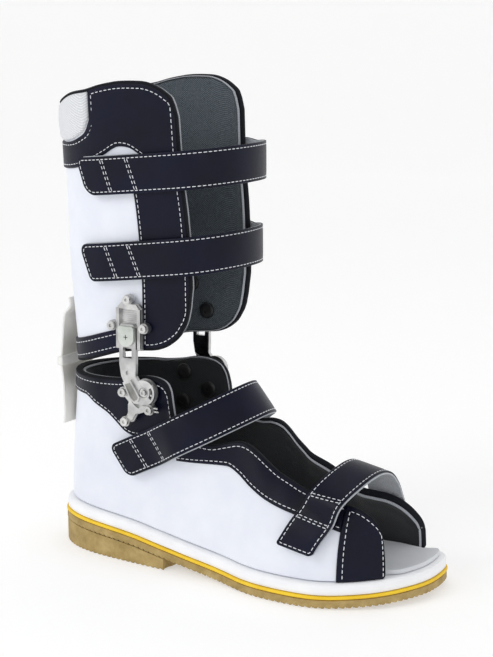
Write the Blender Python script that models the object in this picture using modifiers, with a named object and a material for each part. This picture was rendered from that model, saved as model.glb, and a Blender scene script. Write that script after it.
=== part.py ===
"""Ankle foot orthosis: an open-toed orthopaedic shoe and a lower-leg cuff, joined by two ankle uprights.

Metres, +Z up, +X to the toe, +Y to the inner (medial) side of a right foot.
The origin is the centre of the heel's ground face.
"""
import math

import bmesh
import bpy
from mathutils import Matrix, Vector

MM = 0.001

# ---------------------------------------------------------------- driving dimensions
GAP = 0.3 * MM                      # clearance between pieces that touch
OVERLAY_GAP = 0.6 * MM              # under the overlays, whose facets don't match the wall's

SOLE_LENGTH = 277.0 * MM
HEEL_BACK = -49.0 * MM              # rearmost point of the sole, ahead of which x is measured
HALF_BALL_WIDTH = 54.7 * MM
OUTSOLE_THICKNESS = 5.5 * MM
ACCENT_THICKNESS = 2.2 * MM
WELT_THICKNESS = 7.7 * MM
HEEL_BREAST = 53.0 * MM             # front face of the heel block
INSOLE_THICKNESS = 3.0 * MM
INSOLE_CLEARANCE = 1.2 * MM         # between the insole's edge and the lining, which leans in
FEATHER_INSET = 5.0 * MM            # welt shelf left outside the upper
TOE_SHELF = 5.5 * MM                # welt shelf left outside the insole at the open toe

LEATHER = 1.8 * MM                  # white leather of shoe and cuff
OVERLAY = 1.4 * MM                  # navy leather sewn over the white
SHOE_PADDING = 3.0 * MM
CUFF_PADDING = 3.8 * MM
COLLAR_HEIGHT = 130.5 * MM          # top of the shoe collar at the ankle
SHOE_HALF_WIDTH = 37.9 * MM         # inside of the leather at the ankle

CUFF_TOP = 322.0 * MM
CUFF_BOTTOM = 149.0 * MM            # lower edge beside the ankle joints
CUFF_HALF_WIDTH_LOW = 37.7 * MM     # inside of the leather at the lower edge
CUFF_HALF_WIDTH_TOP = 42.0 * MM
CUFF_CENTRE = 20.0 * MM             # x of the widest line of the cuff
CUFF_FRONT_AXIS = 115.0 * MM        # front half-length of the section, beyond its open edges
CUFF_POWER = 2.4                    # superellipse power of the section
PAD_THICKNESS = 3.6 * MM

STRAP_WIDTH = 25.0 * MM
STRAP_THICKNESS = 2.2 * MM
LANDING_THICKNESS = 1.0 * MM
STRAP_CLEARANCE = 0.6 * MM          # under the landing patches, which lie flat on curved walls

ANKLE_X = 43.0 * MM                 # ankle joint axis, along Y
ANKLE_Z = 121.5 * MM
PLATE_CLEARANCE = 4.1 * MM          # from the widest leather to the metal plates
PLATE_BACK = max(SHOE_HALF_WIDTH, CUFF_HALF_WIDTH_LOW) + PLATE_CLEARANCE
PLATE_THICKNESS = 1.6 * MM
BODY_HEIGHT = 2.4 * MM              # how far ribs and bosses stand on the plates
LINK_THICKNESS = 2.8 * MM
LINK_WIDTH = 12.9 * MM
LINK_CENTRE = 30.7 * MM
DISC_RADIUS = 8.4 * MM
BLOCK_HEIGHT = 1.4 * MM
PIVOT_RADIUS = 1.9 * MM
BUSH_WALL = 0.9 * MM
STOP_PIN_RADIUS = 0.8 * MM
STOP_PIN_CIRCLE = 5.8 * MM
STOP_PIN_ANGLE = -12.0              # degrees from +X towards +Z, seen from the lateral side
SLOT_START, SLOT_END = -38.0, 34.0  # ends of the link's curved slot, degrees
CLAMP_Z = 157.6 * MM
CLAMP_RADIUS = 2.2 * MM
HEIGHT_DOWN = 2.5 * MM              # travel of the height setting
HEIGHT_UP = 4.0 * MM
EAR_RADIUS = 3.5 * MM
STEP = 0.2 * MM                     # small step between faces that would otherwise lie in one plane
SCREW_RADIUS = 1.5 * MM
SCREW_HEAD_RADIUS = 2.9 * MM
SCREW_HEAD_HEIGHT = 1.9 * MM
SOCKET_RADIUS = 1.3 * MM
SOCKET_DEPTH = 1.1 * MM
NUT_RADIUS = 5.0 * MM
NUT_THICKNESS = 1.8 * MM

ELASTIC_WIDTH = 36.0 * MM
ELASTIC_THICKNESS = 1.8 * MM
SLIDER_HEIGHT = 6.4 * MM
SLIDER_DEPTH = 5.0 * MM

FOOT_SCREWS = ((26.5, 120.0), (28.0, 100.3), (47.0, 110.3))        # x, z in mm
BRACKET_EAR_REACH = 6.0 * MM         # of the side ears' screws beyond the link

SIDES = (("lateral", -1), ("medial", 1))


def bracket_screws():
    """Screws of the cuff's bracket, x and z in mm: one each side of the link and one above it."""
    centre, reach = LINK_CENTRE / MM, (LINK_WIDTH / 2 + BRACKET_EAR_REACH) / MM
    return ((centre - reach, 164.0), (centre, 182.0), (centre + reach, 164.0))


BRACKET_SCREWS = bracket_screws()


# ---------------------------------------------------------------- scene and materials
def clear_scene():
    for item in list(bpy.data.objects):
        bpy.data.objects.remove(item, do_unlink=True)


def new_collection(name):
    group = bpy.data.collections.new(name)
    bpy.context.scene.collection.children.link(group)
    return group


def new_material(name, colour, roughness, metallic=0.0):
    """Principled material from an sRGB hex colour."""
    channels = [int(colour[i:i + 2], 16) / 255 for i in (0, 2, 4)]
    linear = [c / 12.92 if c <= 0.04045 else ((c + 0.055) / 1.055) ** 2.4 for c in channels]
    made = bpy.data.materials.new(name)
    made.use_nodes = True
    shader = made.node_tree.nodes["Principled BSDF"]
    shader.inputs["Base Color"].default_value = (*linear, 1)
    shader.inputs["Roughness"].default_value = roughness
    shader.inputs["Metallic"].default_value = metallic
    return made


clear_scene()
parts = new_collection("ankle_foot_orthosis")
cutters = new_collection("cutters")
white_leather = new_material("white_leather", "EEF1F8", 0.45)
navy_leather = new_material("navy_leather", "141A38", 0.5)
grey_mesh = new_material("grey_mesh", "39424B", 0.85)
white_mesh = new_material("white_mesh", "F2F3F5", 0.8)
tan_rubber = new_material("tan_rubber", "A68E55", 0.7)
yellow_rubber = new_material("yellow_rubber", "F0C818", 0.6)
white_rubber = new_material("white_rubber", "F1F2F4", 0.55)
insole_leather = new_material("insole_leather", "D9DCE0", 0.6)
elastic_web = new_material("elastic_web", "E9E7E0", 0.8)
hook_fabric = new_material("hook_fabric", "B9BEC6", 0.9)
satin_metal = new_material("satin_metal", "BDBBB6", 0.32, 1.0)
clear_plastic = new_material("clear_plastic", "DCDCD8", 0.35)


def add_part(name, mesh, material):
    """Put a mesh in the parts collection as one node, shaded smooth with sharp edges."""
    made = bpy.data.objects.new(name, mesh)
    parts.objects.link(made)
    mesh.materials.clear()
    mesh.materials.append(material)
    mesh.shade_smooth()
    mesh.set_sharp_from_angle(angle=math.radians(35))
    return made


def set_origin(part, point):
    """Move a part's origin to a point on its joint axis; its shape stays where it is."""
    part.data.transform(Matrix.Translation(-Vector(point)))
    part.location = point


# ---------------------------------------------------------------- curves and outlines
def between(knots, x):
    """Read a line through (x, value) knots, level beyond its ends."""
    if x <= knots[0][0]:
        return knots[0][1]
    for (x0, y0), (x1, y1) in zip(knots, knots[1:]):
        if x <= x1:
            return y0 + (y1 - y0) * (x - x0) / (x1 - x0)
    return knots[-1][1]


def smooth_closed(points, steps):
    """Closed Catmull-Rom curve through points, with steps samples in each span."""
    count = len(points)
    samples = []
    for i in range(count):
        p0, p1, p2, p3 = (points[(i + k) % count] for k in (-1, 0, 1, 2))
        for step in range(steps):
            t = step / steps
            samples.append(0.5 * (2 * p1 + (p2 - p0) * t + (2 * p0 - 5 * p1 + 4 * p2 - p3) * t * t
                                  + (3 * p1 - p0 - 3 * p2 + p3) * t * t * t))
    return samples


def smooth_open(points, steps):
    """Catmull-Rom curve through points, ends included."""
    padded = [2 * points[0] - points[1], *points, 2 * points[-1] - points[-2]]
    samples = []
    for p0, p1, p2, p3 in zip(padded, padded[1:], padded[2:], padded[3:]):
        for step in range(steps):
            t = step / steps
            samples.append(0.5 * (2 * p1 + (p2 - p0) * t + (2 * p0 - 5 * p1 + 4 * p2 - p3) * t * t
                                  + (3 * p1 - p0 - 3 * p2 + p3) * t * t * t))
    samples.append(points[-1].copy())
    return samples


def arc(centre, radius, start, end, steps):
    """Points on a circle in the x-z plane, angles in degrees from +X towards +Z."""
    angles = [math.radians(start + (end - start) * k / steps) for k in range(steps + 1)]
    return [(centre[0] + radius * math.cos(a), centre[1] + radius * math.sin(a)) for a in angles]


# Half widths of the sole over its length: (share of length, share of half ball width).
SOLE_OUTLINE = ((0.0, 0.0), (0.035, -0.35), (0.13, -0.60), (0.30, -0.71), (0.50, -0.77), (0.66, -0.98),
                (0.80, -0.97), (0.90, -0.73), (0.965, -0.37), (1.0, 0.12), (0.985, 0.70), (0.92, 0.93),
                (0.80, 1.01), (0.68, 0.93), (0.50, 0.70), (0.30, 0.56), (0.13, 0.58), (0.035, 0.36))


def sole_outline():
    """Closed outline of the sole, from the heel's back by the lateral side to the toe and home."""
    knots = [Vector((HEEL_BACK + share * SOLE_LENGTH, width * HALF_BALL_WIDTH, 0))
             for share, width in SOLE_OUTLINE]
    return smooth_closed(knots, 6)


OUTLINE = sole_outline()


def sole_share(x):
    return (x - HEEL_BACK) / SOLE_LENGTH


def inset_outline(inset):
    """The sole outline moved inwards; inset is a function of the share of length."""
    count = len(OUTLINE)
    moved = []
    for i, point in enumerate(OUTLINE):
        along = OUTLINE[(i + 1) % count] - OUTLINE[i - 1]
        inward = Vector((-along.y, along.x, 0)).normalized()
        moved.append(point + inward * inset(sole_share(point.x)))
    return moved


def seat_height(x):
    """Top of the accent layer: high at the heel, low at the ball, with a little toe spring."""
    knots = ((0.0, 24.2), (0.15, 22.9), (0.28, 20.0), (0.37, 15.9), (0.45, 12.2), (0.53, 9.6),
             (0.62, 8.0), (0.78, 8.0), (0.90, 9.6), (1.0, 12.0))
    return between(knots, sole_share(x)) * MM


def crossings(outline, x):
    """Lowest and highest y where a closed outline meets the line at x."""
    hits = []
    for a, b in zip(outline, outline[1:] + outline[:1]):
        if (a.x - x) * (b.x - x) <= 0 and a.x != b.x:
            hits.append(a.y + (b.y - a.y) * (x - a.x) / (b.x - a.x))
    return min(hits), max(hits)


def layer(name, material, inset, low, high, front=None, stations=26):
    """Sole layer: rectangular sections along X between two height functions."""
    outline = inset_outline(inset)
    tiny = 0.02 * MM
    first = min(p.x for p in outline) + tiny
    last = max(p.x for p in outline) - tiny if front is None else front
    mesh = bmesh.new()
    rings = []
    for i in range(stations + 1):
        share = i / stations
        if front is None:
            share = 0.5 - 0.5 * math.cos(math.pi * share)
        else:
            share = 1 - math.cos(0.5 * math.pi * share)
        x = first + (last - first) * share
        near, far = crossings(outline, x)
        rings.append([mesh.verts.new(p) for p in
                      ((x, near, low(x)), (x, far, low(x)), (x, far, high(x)), (x, near, high(x)))])
    for a, b in zip(rings, rings[1:]):
        for k in range(4):
            n = (k + 1) % 4
            mesh.faces.new((a[k], a[n], b[n], b[k]))
    mesh.faces.new(rings[0])
    mesh.faces.new(rings[-1])
    bmesh.ops.recalc_face_normals(mesh, faces=mesh.faces)
    data = bpy.data.meshes.new(name)
    mesh.to_mesh(data)
    mesh.free()
    return add_part(name, data, material)


# ---------------------------------------------------------------- sole stack
def welt_top(x):
    return seat_height(x) + GAP + WELT_THICKNESS


def outsole_under(x):
    """Ground side of the outsole, which lifts with the toe spring."""
    return seat_height(x) - ACCENT_THICKNESS - GAP - OUTSOLE_THICKNESS


def build_sole():
    layer("heel_block", tan_rubber, lambda s: 0.6 * MM, lambda x: 0.0,
          lambda x: outsole_under(x) - GAP, front=HEEL_BREAST, stations=16)
    layer("outsole", tan_rubber, lambda s: 0.3 * MM, outsole_under,
          lambda x: seat_height(x) - ACCENT_THICKNESS - GAP)
    layer("sole_accent_layer", yellow_rubber, lambda s: 0.0,
          lambda x: seat_height(x) - ACCENT_THICKNESS, seat_height)
    layer("welt", white_rubber, lambda s: 1.0 * MM, lambda x: seat_height(x) + GAP, welt_top)
    wall = FEATHER_INSET + LEATHER + GAP + SHOE_PADDING + INSOLE_CLEARANCE
    inset = ((0.87, wall), (0.905, wall + 2 * MM), (0.938, wall + 2 * MM), (0.97, TOE_SHELF))
    layer("insole", insole_leather, lambda s: between(inset, s),
          lambda x: welt_top(x) + GAP, lambda x: welt_top(x) + GAP + INSOLE_THICKNESS)


build_sole()


# ---------------------------------------------------------------- shoe wall
# The opening edge of the upper, from the lateral toe round the heel to the medial toe.
# x, y, z in mm; heights and widths near the ankle follow COLLAR_HEIGHT and SHOE_HALF_WIDTH.
ANKLE_WIDTH = SHOE_HALF_WIDTH / MM
COLLAR = COLLAR_HEIGHT / MM
COLLAR_FRONT = 60.0                 # x from which the upper follows the sole's length, mm
DRAWN_TOE = 228.0                   # x of the toe for which the forefoot points are given, mm
DRAWN_HALF_BALL = 54.7
DRAWN_HALF_ANKLE = 37.9
INSTEP_FRONT = 120.0                # x from which the rim's width doesn't follow the ankle's, mm


def ahead(x):
    """x of a forefoot point (mm), moved with the toe."""
    toe = (HEEL_BACK + SOLE_LENGTH) / MM
    return x if x <= COLLAR_FRONT else COLLAR_FRONT + (x - COLLAR_FRONT) * (toe - COLLAR_FRONT) / (
        DRAWN_TOE - COLLAR_FRONT)


def wide(y):
    """y of a point over the forefoot (mm), moved with the ball's width."""
    return y * HALF_BALL_WIDTH / MM / DRAWN_HALF_BALL


def rim_width(x, y):
    """y of a rim point (mm); in front of the ankle it takes up less and less of the ankle's extra width."""
    share = (INSTEP_FRONT - x) / (INSTEP_FRONT - COLLAR_FRONT)
    return y + (ANKLE_WIDTH - DRAWN_HALF_ANKLE) * share if COLLAR_FRONT + 1.6 < x < INSTEP_FRONT else y


LATERAL_RIM = ((207.0, 27.5, 48.5), (203.5, 27.8, 54.5), (194.5, 28, 60), (184, 28, 61.8), (170, 28, 64),
               (155, 28, 67.6), (145, 28, 72), (136, 28, 76.3), (128, 28, 82), (121, 28, 87.4),
               (114, 28, 91.5), (107, 28.5, 92.8), (98, 30, 91), (88, 32.5, 89.5), (76, 35.5, 92),
               (67, 37, 97.5), (61.5, ANKLE_WIDTH, 105), (59.5, ANKLE_WIDTH, 113),
               (58, ANKLE_WIDTH, COLLAR - 8.5), (55, ANKLE_WIDTH, COLLAR - 3), (49, ANKLE_WIDTH, COLLAR - 0.5),
               (40, ANKLE_WIDTH, COLLAR), (31, ANKLE_WIDTH, COLLAR - 1.5), (20, ANKLE_WIDTH - 0.5, COLLAR - 3.6),
               (8, ANKLE_WIDTH - 2.5, COLLAR - 5))
MEDIAL_RIM = ((202, 44.5, 32), (200, 42.5, 37.5), (195, 38.5, 44.5), (189, 35, 49.5), (182, 32, 52.6),
              (174, 29.8, 53.8), (164, 28, 55.5), (154, 26.5, 62), (143, 25.5, 68.7), (130, 25, 74.3),
              (124, 25, 79), (118, 25, 84.3), (112, 25, 90.5), (106, 25.3, 94.4), (98, 26.2, 95.4),
              (89, 28.5, 93.8), (76, 33, 94), (66, 36.3, 98), (60, ANKLE_WIDTH - 0.5, 105),
              (57.5, ANKLE_WIDTH, COLLAR - 15), (55, ANKLE_WIDTH, COLLAR - 8), (50, ANKLE_WIDTH, COLLAR - 3),
              (41, ANKLE_WIDTH, COLLAR - 0.8), (31, ANKLE_WIDTH, COLLAR - 1.2),
              (20, ANKLE_WIDTH - 0.5, COLLAR - 3.6), (8, ANKLE_WIDTH - 2.5, COLLAR - 5))
HEEL_RIM_LENGTH = 41.0              # from the last side point back to the heel, mm
HEEL_RIM_DROP = 1.5                 # how much lower the rim is at the back, mm


class Wall:
    """Side wall of the shoe: each column rises from the welt's feather line to the rim."""

    def __init__(self):
        outline = inset_outline(lambda s: FEATHER_INSET + LEATHER)
        rear = min(range(len(outline)), key=lambda i: outline[i].x)
        ring = outline[rear:] + outline[:rear]
        half = max(range(len(ring)), key=lambda i: ring[i].x)
        self.lateral = ring[:half + 1]
        self.medial = [ring[0]] + ring[:half - 1:-1]
        self.columns = []
        for knot in LATERAL_RIM:
            self.columns.append(self.column(knot, -1))
        self.columns += self.heel_columns()
        for knot in reversed(MEDIAL_RIM):
            self.columns.append(self.column(knot, 1))

    def base_at(self, x, side):
        """Feather-line point at x on one side, with its outward direction."""
        run = self.lateral if side < 0 else self.medial
        for a, b in zip(run, run[1:]):
            if a.x <= x <= b.x:
                share = (x - a.x) / (b.x - a.x)
                point = a.lerp(b, share)
                along = b - a
                out = Vector((along.y, -along.x, 0)) * -side
                return point, out.normalized()
        return run[-1].copy(), Vector((1, 0, 0))

    def column(self, knot, side):
        x, y, z = knot
        top = Vector((ahead(x), side * rim_width(x, y), z)) * MM
        base, out = self.base_at(top.x + 0.6 * MM, side)
        base.z = welt_top(base.x) + GAP
        return base, top, out

    def heel_columns(self):
        """Columns round the heel: the rim is half an ellipse, the base an equal share of its arc."""
        last = LATERAL_RIM[-1]
        start = self.base_at(last[0] * MM, -1)[0]
        end = self.base_at(last[0] * MM, 1)[0]
        path = ([start] + [p for p in reversed(self.lateral) if p.x < start.x]
                + [p for p in self.medial[1:] if p.x < end.x] + [end])
        lengths = [0.0]
        for a, b in zip(path, path[1:]):
            lengths.append(lengths[-1] + (b - a).length)
        columns = []
        steps = 14
        for k in range(1, steps):
            angle = math.pi * k / steps
            drop = HEEL_RIM_DROP * math.sin(angle)
            top = Vector(((last[0] - HEEL_RIM_LENGTH * math.sin(angle)) * MM,
                          -last[1] * math.cos(angle) * MM, (last[2] - drop) * MM))
            want = lengths[-1] * k / steps
            i = max(j for j in range(len(lengths) - 1) if lengths[j] <= want)
            base = path[i].lerp(path[i + 1], (want - lengths[i]) / (lengths[i + 1] - lengths[i]))
            base = Vector((base.x, base.y, welt_top(base.x) + GAP))
            out = Vector((-math.sin(angle), -math.cos(angle), 0))
            columns.append((base, top, out))
        return columns

    def point(self, place, v, offset):
        """Point at column place (may lie between two) and height share v, offset outwards."""
        i = min(int(place), len(self.columns) - 2)
        share = place - i
        (b0, t0, o0), (b1, t1, o1) = self.columns[i], self.columns[i + 1]
        base, top, out = b0.lerp(b1, share), t0.lerp(t1, share), o0.lerp(o1, share).normalized()
        rise = top - base
        mid = base + Vector((0, 0, rise.z * 0.6))
        here = base * (1 - v) ** 2 + mid * 2 * v * (1 - v) + top * v * v
        slope = (mid - base) * (1 - v) + (top - mid) * v
        normal = (out * slope.z - Vector((0, 0, 1)) * slope.dot(out)).normalized()
        return here + normal * offset, normal

    def place_at(self, x, side):
        """Column place where the rim passes x (mm) on one side."""
        middle = len(LATERAL_RIM) + 6
        indices = range(middle) if side < 0 else range(middle, len(self.columns) - 1)
        for i in indices:
            a, b = self.columns[i][1].x / MM, self.columns[i + 1][1].x / MM
            if min(a, b) <= x <= max(a, b) and a != b:
                return i + (x - a) / (b - a)
        return 0.0 if side < 0 else float(len(self.columns) - 1)

    def share_at_height(self, place, z):
        """Height share v at which the column reaches z (metres)."""
        low, high = 0.0, 1.0
        for _ in range(24):
            v = (low + high) / 2
            if self.point(place, v, 0)[0].z < z:
                low = v
            else:
                high = v
        return (low + high) / 2

    def on_wall(self, x, z, side, offset):
        """Point and outward normal on the wall at x and z (mm), offset outwards (metres)."""
        place = self.place_at(x, side)
        for _ in range(12):
            v = self.share_at_height(place, z * MM)
            error = x * MM - self.point(place, v, 0)[0].x
            place = min(max(place + (error / MM) * side * 0.08, 0), len(self.columns) - 1.001)
        return self.point(place, v, offset)


wall = Wall()


def shell(name, material, inner, outer):
    """Closed skin between two grids of points (columns of rows) that share one field of normals.

    Layers built this way nest exactly, which thickening each open surface by itself would not give.
    """
    mesh = bmesh.new()
    skins = [[[mesh.verts.new(p) for p in column] for column in grid] for grid in (inner, outer)]
    back, front = skins
    for i in range(len(back) - 1):
        for j in range(len(back[0]) - 1):
            for skin in skins:
                mesh.faces.new((skin[i][j], skin[i][j + 1], skin[i + 1][j + 1], skin[i + 1][j]))
    edge = [(i, 0) for i in range(len(back))] + [(len(back) - 1, j) for j in range(1, len(back[0]))]
    edge += [(i, len(back[0]) - 1) for i in range(len(back) - 2, -1, -1)]
    edge += [(0, j) for j in range(len(back[0]) - 2, 0, -1)]
    for (i, j), (m, n) in zip(edge, edge[1:] + edge[:1]):
        mesh.faces.new((back[i][j], back[m][n], front[m][n], front[i][j]))
    bmesh.ops.recalc_face_normals(mesh, faces=mesh.faces)
    data = bpy.data.meshes.new(name)
    mesh.to_mesh(data)
    mesh.free()
    return add_part(name, data, material)


def shoe_shell(name, material, start, end, low, high, inner, thickness, rows):
    """Piece of the shoe wall between two column places and two height-share functions."""
    places = [start] + [float(i) for i in range(math.ceil(start + 1e-6), math.ceil(end - 1e-6))] + [end]
    grids = ([], [])
    for place in places:
        bottom, top = low(place), high(place)
        shares = [bottom + (top - bottom) * j / rows for j in range(rows + 1)]
        for grid, offset in zip(grids, (inner, inner + thickness)):
            grid.append([wall.point(place, v, offset)[0] for v in shares])
    return shell(name, material, *grids)


LAST_COLUMN = float(len(wall.columns) - 1)
OVERLAY_INNER = LEATHER + OVERLAY_GAP
LINING_INNER_SHOE = -GAP - SHOE_PADDING


def build_upper():
    shoe_shell("shoe_quarters", white_leather, 0.0, LAST_COLUMN, lambda p: 0.0, lambda p: 1.0, 0.0, LEATHER, 4)
    shoe_shell("shoe_lining", grey_mesh, 0.0, LAST_COLUMN, lambda p: 0.0, lambda p: 1.0,
               LINING_INNER_SHOE, SHOE_PADDING, 4)
    collar_low = ((-40, 111), (-13, 111), (-3, 106), (7, 101), (15, 95), (21, 90.5), (29, 88.5), (59, 91))

    def collar_share(place):
        x = wall.point(place, 0.9, 0)[0].x / MM
        return wall.share_at_height(place, between(collar_low, x) * MM)

    shoe_shell("ankle_collar_overlay", navy_leather, wall.place_at(61.5, -1), wall.place_at(60, 1),
               collar_share, lambda p: 1.0, OVERLAY_INNER, OVERLAY, 3)
    for name, side in SIDES:
        vamp = sorted((wall.place_at(ahead(62.5), side), wall.place_at(ahead(186.4), side)))
        toe_end = 0.0 if side < 0 else LAST_COLUMN
        toe = sorted((wall.place_at(ahead(187.2), side), toe_end))
        shoe_shell(name + "_vamp_band", navy_leather, vamp[0], vamp[1], lambda p: 0.66, lambda p: 1.0,
                   OVERLAY_INNER, OVERLAY, 3)
        shoe_shell(name + "_toe_band", navy_leather, toe[0], toe[1], lambda p: 0.0, lambda p: 1.0,
                   OVERLAY_INNER, OVERLAY, 4)


build_upper()


# ---------------------------------------------------------------- cuff wall
FRONT_EDGE = ((150, 73), (192, 73), (224, 71.5), (242, 70), (262, 67.5), (300, 65), (322, 63.5))     # z, x mm
REAR_LINE = ((131, -28.5), (148, -31), (179, -34.8), (200, -36.3), (247, -38), (270, -39), (322, -41.5))
TOP_EDGE = ((-45, 303), (-34, 306), (-18, 312.5), (-3, 315.5), (8, 318.6), (24, 321.4), (40, 322),
            (50, 320), (58, 315.5), (62, 311), (64.4, 301))                                           # x, z mm
LOW_EDGE = ((-45, 131.5), (-25, 133), (-8, 137.5), (6, 142), (21, 146.5), (37, 149), (50, 151), (59, 155.5),
            (66, 163), (71, 176), (73, 192))
DRAWN_TOP = 322.0                   # cuff top for which TOP_EDGE, PAD_LOW and SCALLOP are given, mm


def cuff_point(around, z, offset=0.0):
    """Point of the cuff: around 0 is the lateral front edge, 0.5 the back, 1 the medial front edge.

    The section is a superellipse, x = a cos^(2/n), y = b sin^(2/n), with its own rear half-length.
    """
    height = z / MM
    half = CUFF_HALF_WIDTH_LOW + (CUFF_HALF_WIDTH_TOP - CUFF_HALF_WIDTH_LOW) * max(
        0.0, (z - 180 * MM) / (CUFF_TOP - 180 * MM))
    reach = (between(FRONT_EDGE, height) * MM - CUFF_CENTRE) / CUFF_FRONT_AXIS
    start = math.acos(reach ** (CUFF_POWER / 2))
    side = -1 if around < 0.5 else 1
    share = around * 2 if around < 0.5 else (1 - around) * 2
    angle = start + (math.pi - start) * share
    c, s = math.cos(angle), math.sin(angle)
    axis = CUFF_FRONT_AXIS if c > 0 else CUFF_CENTRE - between(REAR_LINE, height) * MM
    power = 2 / CUFF_POWER
    point = Vector((CUFF_CENTRE + math.copysign(axis * abs(c) ** power, c), side * half * abs(s) ** power, z))
    rounding = 2 - power
    normal = Vector((math.copysign(abs(c) ** rounding, c) / axis, side * abs(s) ** rounding / half, 0))
    return point + normal.normalized() * offset


def cuff_x(around, z):
    return cuff_point(around, z).x / MM


def around_at(x, side, z):
    """Place round the cuff where it passes x (mm) at height z."""
    low, high = 0.0, 0.5
    for _ in range(30):
        mid = (low + high) / 2
        if cuff_x(mid, z) > x:
            low = mid
        else:
            high = mid
    return low if side < 0 else 1 - low


def low_edge(around):
    return between(LOW_EDGE, cuff_x(around, CUFF_BOTTOM)) * MM


def below_top(knots, x):
    """Height (metres) from (x, z) knots that were drawn for a cuff DRAWN_TOP high."""
    return between(knots, x) * MM - DRAWN_TOP * MM + CUFF_TOP


def top_edge(around):
    return below_top(TOP_EDGE, cuff_x(around, 310 * MM))


CUFF_PLACES = sorted({round(side_place, 6) for k in range(18) for side_place in
                      (0.5 * (k / 18) ** 1.25, 1 - 0.5 * (k / 18) ** 1.25)} | {0.5})


def cuff_shell(name, material, start, end, low, high, inner, thickness, rows):
    """Piece of the cuff between two places round it and two height functions."""
    places = [start] + [p for p in CUFF_PLACES if start + 0.002 < p < end - 0.002] + [end]
    grids = ([], [])
    for place in places:
        bottom, top = low(place), high(place)
        heights = [bottom + (top - bottom) * j / rows for j in range(rows + 1)]
        for grid, offset in zip(grids, (inner, inner + thickness)):
            grid.append([cuff_point(place, z, offset) for z in heights])
    return shell(name, material, *grids)


FACING_BACK = 36.0                  # x of the rear edge of the front facings, mm
LOWER_BAND_HEIGHT = 14.5 * MM
PAD_LOW = ((-45, 281), (-22, 282), (-12, 285.5), (-4.5, 291), (-0.5, 299))
SCALLOP = ((-45, 262), (-16, 264.3), (0, 269.5), (12, 275.5), (19, 279.5), (25.5, 281), (36, 279))
PAD_FRONT = -0.5                    # x of the pad's upright border, mm


def build_cuff():
    cuff_shell("cuff_shell", white_leather, 0.0, 1.0, low_edge, top_edge, 0.0, LEATHER, 5)
    cuff_shell("cuff_lining", grey_mesh, 0.0, 1.0, low_edge, top_edge, -GAP - CUFF_PADDING, CUFF_PADDING, 5)
    facing = around_at(FACING_BACK, -1, 230 * MM)
    for name, side in SIDES:
        ends = (0.0, facing) if side < 0 else (1 - facing, 1.0)
        cuff_shell(name + "_front_facing", navy_leather, ends[0], ends[1], low_edge, top_edge,
                   OVERLAY_INNER, OVERLAY, 5)
    seam = 0.004
    cuff_shell("cuff_lower_band", navy_leather, facing + seam, 1 - facing - seam, low_edge,
               lambda p: low_edge(p) + LOWER_BAND_HEIGHT, OVERLAY_INNER, OVERLAY, 2)
    pad_start = around_at(PAD_FRONT, -1, 295 * MM)

    def overlay_top(place):
        x = cuff_x(place, 295 * MM)
        return below_top(PAD_LOW, x - 3) - 1.0 * MM if x < PAD_FRONT + 3 else top_edge(place)

    cuff_shell("cuff_top_overlay", navy_leather, facing + seam, 1 - facing - seam,
               lambda p: below_top(SCALLOP, cuff_x(p, 270 * MM)), overlay_top, OVERLAY_INNER, OVERLAY, 3)
    cuff_shell("rear_collar_pad", white_mesh, pad_start + seam, 1 - pad_start - seam,
               lambda p: below_top(PAD_LOW, cuff_x(p, 295 * MM)), top_edge, OVERLAY_INNER, PAD_THICKNESS, 3)


build_cuff()


# ---------------------------------------------------------------- straps
def frames(knots, steps):
    """Smooth (point, outward) knots into stations of point, direction along and direction outwards."""
    points = smooth_open([p for p, _ in knots], steps)
    outs = smooth_open([o for _, o in knots], steps)
    stations = []
    for i, point in enumerate(points):
        along = (points[min(i + 1, len(points) - 1)] - points[max(i - 1, 0)]).normalized()
        out = (outs[i] - along * outs[i].dot(along)).normalized()
        stations.append((point, along, out))
    return stations


def band(name, material, stations, width, thickness):
    """Flat band swept along stations."""
    mesh = bmesh.new()
    rings = []
    for point, along, out in stations:
        across = along.cross(out)
        rings.append([mesh.verts.new(point + across * a * width / 2 + out * o * thickness / 2)
                      for a, o in ((-1, -1), (1, -1), (1, 1), (-1, 1))])
    for a, b in zip(rings, rings[1:]):
        for k in range(4):
            n = (k + 1) % 4
            mesh.faces.new((a[k], a[n], b[n], b[k]))
    mesh.faces.new(rings[0])
    mesh.faces.new(rings[-1])
    bmesh.ops.recalc_face_normals(mesh, faces=mesh.faces)
    data = bpy.data.meshes.new(name)
    mesh.to_mesh(data)
    mesh.free()
    return add_part(name, data, material)


STRAP_OFFSET = OVERLAY_INNER + OVERLAY + STRAP_CLEARANCE + LANDING_THICKNESS + GAP + STRAP_THICKNESS / 2
LANDING_DROP = STRAP_THICKNESS / 2 + GAP + LANDING_THICKNESS / 2


def strap(name, stations, root_from, landing):
    """Tail, sewn root and landing patch of one strap.

    The tail swings about the outer edge of its end at station root_from, where the root begins;
    landing is the range of stations that the loop patch lies under.
    """
    tail = band(name + "_strap", navy_leather, stations[:root_from + 1], STRAP_WIDTH, STRAP_THICKNESS)
    point, along, out = stations[root_from]
    root = [(point + along * GAP, along, out)] + stations[root_from + 1:]
    band(name + "_strap_root", navy_leather, root, STRAP_WIDTH, STRAP_THICKNESS)
    patch = [(p - o * LANDING_DROP, a, o) for p, a, o in stations[landing[0]:landing[1]]]
    band(name + "_strap_landing", hook_fabric, patch, STRAP_WIDTH - 5 * MM, LANDING_THICKNESS)
    set_origin(tail, point + out * STRAP_THICKNESS / 2)


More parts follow.
